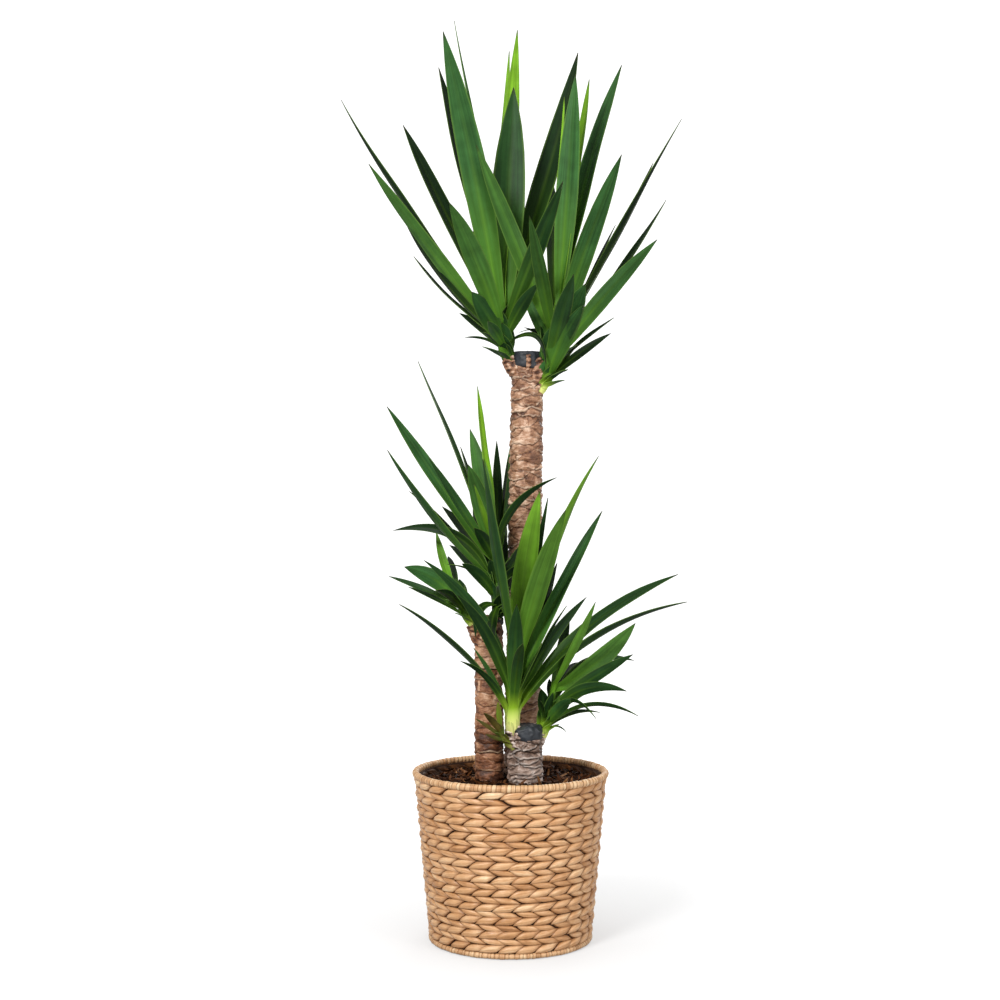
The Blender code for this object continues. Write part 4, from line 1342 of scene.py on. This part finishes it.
def leaf_points(sheet, stem, share, tip, seen_width, arch, chance, layer=None, facing_out=False):
    """A sword-shaped leaf bent from the flat sheet: channelled, clasping the stem, with a needle point."""
    root, radius = along_stem(stem, share)
    chord = tip - root
    length = chord.length
    away = Vector((chord.x, chord.y, 0)).normalized()
    start = root + away * radius * 0.3
    run = (tip - start).normalized()
    rise = (UP - run * run.z).normalized() if abs(run.z) < 0.98 else -away
    bend = (start + tip) / 2 + rise * arch * 2 * length
    width = seen_width if facing_out else max(seen_width, min(BLADE_WIDTH_SHARE * length, 4 * seen_width))
    shown = abs(UP.cross(away).dot(run.cross(Vector((0, 1, 0))).normalized()))
    axis = width_axis(run, away, shown if facing_out else seen_width / width)
    flip = math.copysign(1.0, axis.cross(run).dot(UP - away))
    across = sheet[:, 0]
    step = (sheet[:, 1] + 1) / 2
    t = step - 0.07 * np.sin(2 * math.pi * step)
    sheath, widest, taper = min(26.0, max(9.0, 0.05 * length + 6)), 1.35, 0.0
    if layer is not None:
        sheath, widest, taper = (root - along_stem(stem, 0.12)[0]).length, 0.95, 0.3
    clasp = sheath / (length + sheath)
    q = (t - clasp) / (1 - clasp)
    # The blade, along a smooth bend.
    s, b, e = (np.array(v[:]) for v in (start, bend, tip))
    qq = q[:, None]
    middle = s * (1 - qq) ** 2 + b * 2 * qq * (1 - qq) + e * qq**2
    local = (b - s) * (1 - qq) + (e - b) * qq
    local /= np.linalg.norm(local, axis=1)[:, None]
    a = np.array(axis[:])
    side = a - local * (local @ a)[:, None]
    side /= np.linalg.norm(side, axis=1)[:, None]
    normal = np.cross(side, local) * flip
    place = np.clip(q, 0, 1)
    twist = math.radians(chance.uniform(-10, 10)) * np.sin(place * math.pi * chance.uniform(0.6, 1.3))
    c, n = np.cos(twist)[:, None], np.sin(twist)[:, None]
    side, normal = side * c + normal * n, normal * c - side * n
    half = width * np.interp(place, BLADE_PLACES, BLADE_WIDTHS) / 2
    channel = half * 2 * BLADE_CHANNEL * (1.6 - place) * np.abs(across) ** 1.25
    phase, waves = chance.uniform(0, 6), chance.uniform(2.2, 4.0)
    ends = np.sin(place * math.pi)
    ruffle = 0.04 * width * across * np.abs(across) * np.sin(place * waves * math.pi + phase) * ends
    sway = 0.012 * length * np.sin(place * math.pi * 2 + phase) * ends * chance.uniform(-0.5, 0.5)
    blade = middle + side * (half * across)[:, None] + normal * (channel + ruffle + sway)[:, None]
    # The sheath, wrapped round the stem.
    grow = stem_run(stem, share)
    out = (away - grow * away.dot(grow)).normalized()
    beside = grow.cross(out)
    climb = (t / clasp - 1) * sheath
    climbed = np.clip(t / clasp, 0, 2)
    girth = (radius * STEM_SHARE + 0.7) * (1 - taper + taper * np.minimum(climbed, 1))
    girth += (layer or 0.0) + 1.6 * climbed
    half_turn = min(widest, 0.8 * width / (radius * STEM_SHARE + 1))
    turn = across * half_turn
    core = np.array(root[:]) + np.outer(climb, np.array(grow[:]))
    wrap = np.outer(np.cos(turn), np.array(out[:])) + np.outer(np.sin(turn), np.array(beside[:]))
    wrapped = core + wrap * girth[:, None]
    # From sheath to blade, the one eases into the other.
    opened = np.clip((t / clasp - 0.55) / 1.7, 0, 1)
    opened = (opened * opened * (3 - 2 * opened))[:, None]
    points = wrapped * (1 - opened) + blade * opened
    shift = chance.uniform(0, 9)
    runs = np.stack((across * width / 2 * MM + shift, t * length * MM + shift, 0 * t), 1)
    return points, runs, place, np.abs(across)


def bracts(name, chance):
    """Short leaves that clasp the foot of a shoot: share up the stem, tip, width, arch and tone of each."""
    stem = SHOOTS[name]["stem"]
    lowest, highest, count = 0.1, SHOOTS[name]["crown"][0] + 0.24, BRACTS[name]
    made = []
    for k in range(count):
        share = lowest + (highest - lowest) * k / (count - 1)
        root, radius = along_stem(stem, share)
        grow = stem_run(stem, share)
        turn = k * GOLDEN_TURN - 1.9 if k % 3 == 0 else -math.pi / 2 + 1.5 * math.sin(2.4 * k)
        flat = Vector((math.cos(turn), math.sin(turn), 0))
        out = (flat - grow * flat.dot(grow)).normalized()
        length = radius * chance.uniform(4.2, 6.6)
        lean = math.radians(chance.uniform(8, 24))
        aside = radius * STEM_SHARE + length * math.sin(lean)
        tip = root + grow * length * math.cos(lean) + out * aside
        made.append((share, tip, radius * chance.uniform(2.0, 2.5), 0.05, chance.uniform(0.15, 0.6)))
    return made


def paleness(points, name):
    """How pale a shoot is at points in mm, by their distance from its root."""
    first, second = (placed(*station[:3]) for station in SHOOTS[name]["stem"][:2])
    foot = np.array(first.lerp(second, 0.6)[:])
    return np.clip(1.2 - np.linalg.norm(points - foot, axis=1) / PALE_REACH[name], 0, 1)


def shoot(name, surface_leaf, seed):
    """A leafy shoot: its stem and its leaves, each bent from the one sheet and given its thickness."""
    chance = random.Random(seed)
    sheet, faces = blade_sheet()
    stem = SHOOTS[name]["stem"]
    first, last = SHOOTS[name]["crown"]
    listed = SHOOTS[name]["leaves"]
    grown = []
    for k, (x, height, depth, seen_width, arch, tone) in enumerate(listed):
        share = first + (last - first) * k / (len(listed) - 1)
        grown.append((share, placed(x, height, depth), seen_width, arch, tone, False))
    grown += [(*bract, True) for bract in bracts(name, chance)]
    laid, runs, tints = [], [], []
    for k, (share, tip, width, arch, tone, facing_out) in enumerate(grown):
        layer = SHEATH_LAYER * (len(grown) - 1 - k) if name == SHOWN_FOOT else None
        bent = leaf_points(sheet, stem, share, tip, width, arch, chance, layer, facing_out)
        points, run, place, edge = bent
        laid.append(points)
        runs.append(run)
        level = np.full(len(place), within(tone + chance.uniform(-0.07, 0.07)))
        tints.append(np.stack((level, place, edge, np.full(len(place), chance.random())), 1))
    leaves = copies("leaves", faces, laid)
    vector_attribute(leaves, "blade_run", np.concatenate(runs))
    colour_attribute(leaves, "blade_tint", np.concatenate(tints))
    value_attribute(leaves, "blade_pale", paleness(np.concatenate(laid), name))
    thick = leaves.modifiers.new("thickness", "SOLIDIFY")
    thick.thickness = BLADE_THICKNESS * MM
    thick.offset = 0.0
    bpy.context.view_layer.objects.active = leaves
    bpy.ops.object.modifier_apply(modifier=thick.name)
    outwards(leaves)
    smooth(leaves, 60)
    body = tube("stem", [(*station[:3], station[3] * STEM_SHARE) for station in stem], 20, rings=24)
    places = corners(body) / MM
    vector_attribute(body, "blade_run", places[:, [0, 2, 1]] * MM)
    colour_attribute(body, "blade_tint", np.tile((0.3, 0.35, 0.5), (len(places), 1)))
    value_attribute(body, "blade_pale", paleness(places, name))
    whole = joined([leaves, body])
    value_attribute(whole, "blade_worn", np.full(len(whole.data.vertices), WORN.get(name, 0.0)))
    return settle(whole, f"leaves_{name}", surface_leaf, [f"shoot_{name}"])


# Studio


def studio():
    """A pale bowl of floor and wall, a key light from the upper left, and softer ones from the right,
    from behind and from above."""
    floor_radius, bend_radius, wall_top, floor_drop = 5000.0, 1200.0, 5200.0, 0.2
    profile = [(floor_radius, -floor_drop)]
    for k in range(1, 9):
        bend = k / 8 * math.pi / 2
        profile.append((floor_radius + bend_radius * math.sin(bend), bend_radius * (1 - math.cos(bend))))
    profile.append((floor_radius + bend_radius, wall_top))
    bowl = turned(64, profile)
    bowl.name = "studio_bowl"
    smooth(bowl, 40)
    made, tree, shader = surface("studio_white", 0.9, ior=1.5, shine=0.0)
    made.cycles.emission_sampling = "NONE"
    shader.inputs["Base Color"].default_value = linear("#9A9A9A")
    shader.inputs["Emission Color"].default_value = linear("#FFFFFF")
    # The floor is paper white, and its glow fades a little where the basket stands, as a painted shadow.
    place = add(tree, "TexCoord").outputs["Object"]
    reach = add(tree, "VectorMath", operation="LENGTH", links={0: place}).outputs["Value"]
    painted_shadow_fade = {1: 0.15, 2: 1.5, 3: 0.44, 4: 0.84}
    glow = add(tree, "MapRange", interpolation_type="SMOOTHSTEP", links={0: reach}, inputs=painted_shadow_fade)
    tree.links.new(glow.outputs[0], shader.inputs["Emission Strength"])
    bowl.data.materials.append(made)
    # The bowl glows for the picture only, so that it doesn't flatten the plant's shading.
    lit = bpy.data.collections.new("lit_by_the_bowl")
    lit.objects.link(bowl)
    bowl.light_linking.receiver_collection = lit
    # Place and width in metres, and power in watts
    lamps = (
        ("key", (-1.5, -2.6, 2.5), 1.0, 104.0),
        ("fill", (2.4, -2.2, 1.3), 1.4, 40.0),
        ("back", (0.9, 2.9, 1.7), 1.8, 20.0),
        ("top", (-0.3, 0.2, 3.4), 1.2, 16.0),
    )
    middle = Vector((0, 0, 0.7))
    for name, place, size, power in lamps:
        bpy.ops.object.light_add(type="AREA", location=place)
        lamp = bpy.context.object
        lamp.name = f"light_{name}"
        lamp.data.shape = "DISK"
        lamp.data.size = size
        lamp.data.energy = power
        lamp.visible_camera = False
        lamp.rotation_euler = (middle - Vector(place)).to_track_quat("-Z", "Y").to_euler()
    world = bpy.data.worlds.new("studio_air")
    world.use_nodes = True
    air = world.node_tree.nodes["Background"]
    air.inputs["Color"].default_value = linear("#FFFFFF")
    air.inputs["Strength"].default_value = 0.09
    bpy.context.scene.world = world
    bpy.context.scene.view_settings.view_transform = "Standard"


def camera():
    """The camera that took the photo, as near as its picture tells."""
    deselect()
    bpy.ops.object.camera_add(location=EYE * MM, rotation=(math.pi / 2, 0, 0))
    made = bpy.context.object
    made.data.lens = LENS
    made.data.sensor_width = SENSOR
    bpy.context.scene.camera = made


# The whole scene


def main():
    """Makes each material, then each piece with it, and then the studio."""
    leaf_skin = leaf_surface()
    tan_bark = bark_surface(
        "yucca_bark_tan",
        ((0.0, "#4C2A1A"), (0.35, "#825940"), (0.65, "#B18466"), (1.0, "#E6C4AA")),
        "#F0D8BE",
        "#3E2010",
        roughness=0.42,
        relief=0.0018,
    )
    brown_bark = bark_surface(
        "yucca_bark_brown",
        ((0.0, "#462512"), (0.35, "#875638"), (0.65, "#B48462"), (1.0, "#E0B898")),
        "#EACBA8",
        "#3E2112",
        roughness=0.45,
        relief=0.0016,
    )
    grey_bark = bark_surface(
        "yucca_bark_grey",
        ((0.0, "#3C2A20"), (0.35, "#7E6658"), (0.65, "#B0988A"), (1.0, "#EADCD2")),
        "#F2E6DC",
        "#22150E",
        roughness=0.28,
        relief=0.0010,
    )
    stalk = hyacinth_surface(
        "water_hyacinth_stalk",
        ((0.0, "#A06C40"), (0.35, "#CB9766"), (0.65, "#E0B182"), (1.0, "#F6D6AA")),
        "#7A451C",
        pitch=2.8,
    )
    # A darker copy of the stalk's colours: painted shade for the plait inside the rim.
    inner_stalk_painted_shade = hyacinth_surface(
        "water_hyacinth_stalk_inside_painted_shade",
        ((0.0, "#38200F"), (0.35, "#4E301B"), (0.65, "#664126"), (1.0, "#845C3A")),
        "#241208",
        pitch=2.8,
        shine=0.1,
    )
    binding = hyacinth_surface(
        "water_hyacinth_binding",
        ((0.0, "#AE7F54"), (0.35, "#CC9C6E"), (0.65, "#E0B688"), (1.0, "#F2D4AA")),
        "#855226",
        pitch=1.8,
    )
    # The wall behind the strands is the same stalk, seen only in their shade, so its dull dark colour is
    # painted shade.
    core = plain_surface("water_hyacinth_core_painted_shade", "#2C170B", "#4A2C16", 0.8, 120)
    # Recycled polypropylene, injection moulded: dull, with a faint orange-peel skin.
    pot_skin = plain_surface("moulded_polypropylene", "#22140B", "#362110", 0.75, 40, bump=0.08, shine=0.12)
    # Grafting wax, dipped hot: smooth, faintly lumpy and half glossy.
    wax = plain_surface("dipped_grafting_wax", "#1F2226", "#34383E", 0.48, 75, bump=0.7, depth=0.002)
    # Peat is milled fine and kept damp: near black, crumbly and without any gloss.
    peat = plain_surface("peat_mix", "#080402", "#180D07", 0.95, 240, bump=1.0, depth=0.0018, shine=0.1)
    # Composted pine bark, chopped: dark where it stayed whole, and red brown where it split.
    chips = tinted_surface(
        "pine_bark_chip",
        ((0.0, "#0E0602"), (0.45, "#24140A"), (0.8, "#462A19"), (1.0, "#865B38")),
        roughness=0.7,
        scale=300,
    )
    shreds = tinted_surface(
        "pine_bark_shred",
        ((0.0, "#140A04"), (0.45, "#341B0D"), (0.8, "#643C20"), (1.0, "#BA8A5C")),
        roughness=0.6,
        scale=260,
    )
    # Coir is combed from coconut husk: dry, straw brown threads.
    coir = plain_surface("coir_thread", "#6A4A32", "#A88460", 0.8, 90)

    basket_weave(stalk, core, inner_stalk_painted_shade)
    border("basket_rim_binding", RIM_RADIUS, RIM_HEIGHT - RIM_TUBE, RIM_TUBE, "basket_rim", binding, 3)
    border("basket_foot_binding", FOOT_RADIUS, FOOT_TUBE + GAP, FOOT_TUBE, "basket_foot", binding, 5)
    nursery_pot(pot_skin)
    soil_bed(peat)
    chip, shred = chip_form(), shred_form()
    loose_bits("bark_chips", chip, 520, (6, 18), (0.2, 0.42), 0.04, chips, 11)
    loose_bits("bark_shreds", shred, 260, (16, 40), (0.05, 0.1), -0.06, shreds, 13)
    loose_bits("wall_shreds", shred, 150, (14, 32), (0.06, 0.12), -0.22, shreds, 17, inner=0.7)
    loose_bits("peat_crumbs", chip, 900, (1.6, 4.5), (0.5, 0.9), 0.1, chips, 12)
    fibres(coir)
    # Seed, spacing, sag and half width of the scars, columns and row height of the sheet, stain low down
    cane("tall", tan_bark, 21, 5.0, 14.0, 44.0, 128, 1.0, 0.15, plump=1.8, fold=0.55)
    cane("mid", brown_bark, 22, 9.5, 12.0, 50.0, 112, 0.9, 0.42, plump=1.7, fold=0.45)
    cane("short", grey_bark, 23, 3.0, 13.0, 36.0, 128, 0.7, 0.05, plump=2.6, fold=0.45)

    def tall_hem(turn):
        return -6.5 * math.cos(turn + 1.05) + math.sin(3 * turn)

    def mid_hem(turn):
        return 2.0 * math.sin(2 * turn) + 2.0

    def short_hem(turn):
        return 2.5 * math.sin(2 * turn + 0.6) + 1.2 * math.sin(5 * turn) + 1.0

    wax_cap("tall", wax, tall_hem, rounding=1.0, crumple=0.5)
    wax_cap("mid", wax, mid_hem, rounding=3.0, crumple=0.5)
    wax_cap("short", wax, short_hem, rounding=5.0, crumple=1.5)
    for k, name in enumerate(SHOOTS):
        shoot(name, leaf_skin, 40 + k)
    studio()
    camera()


main()
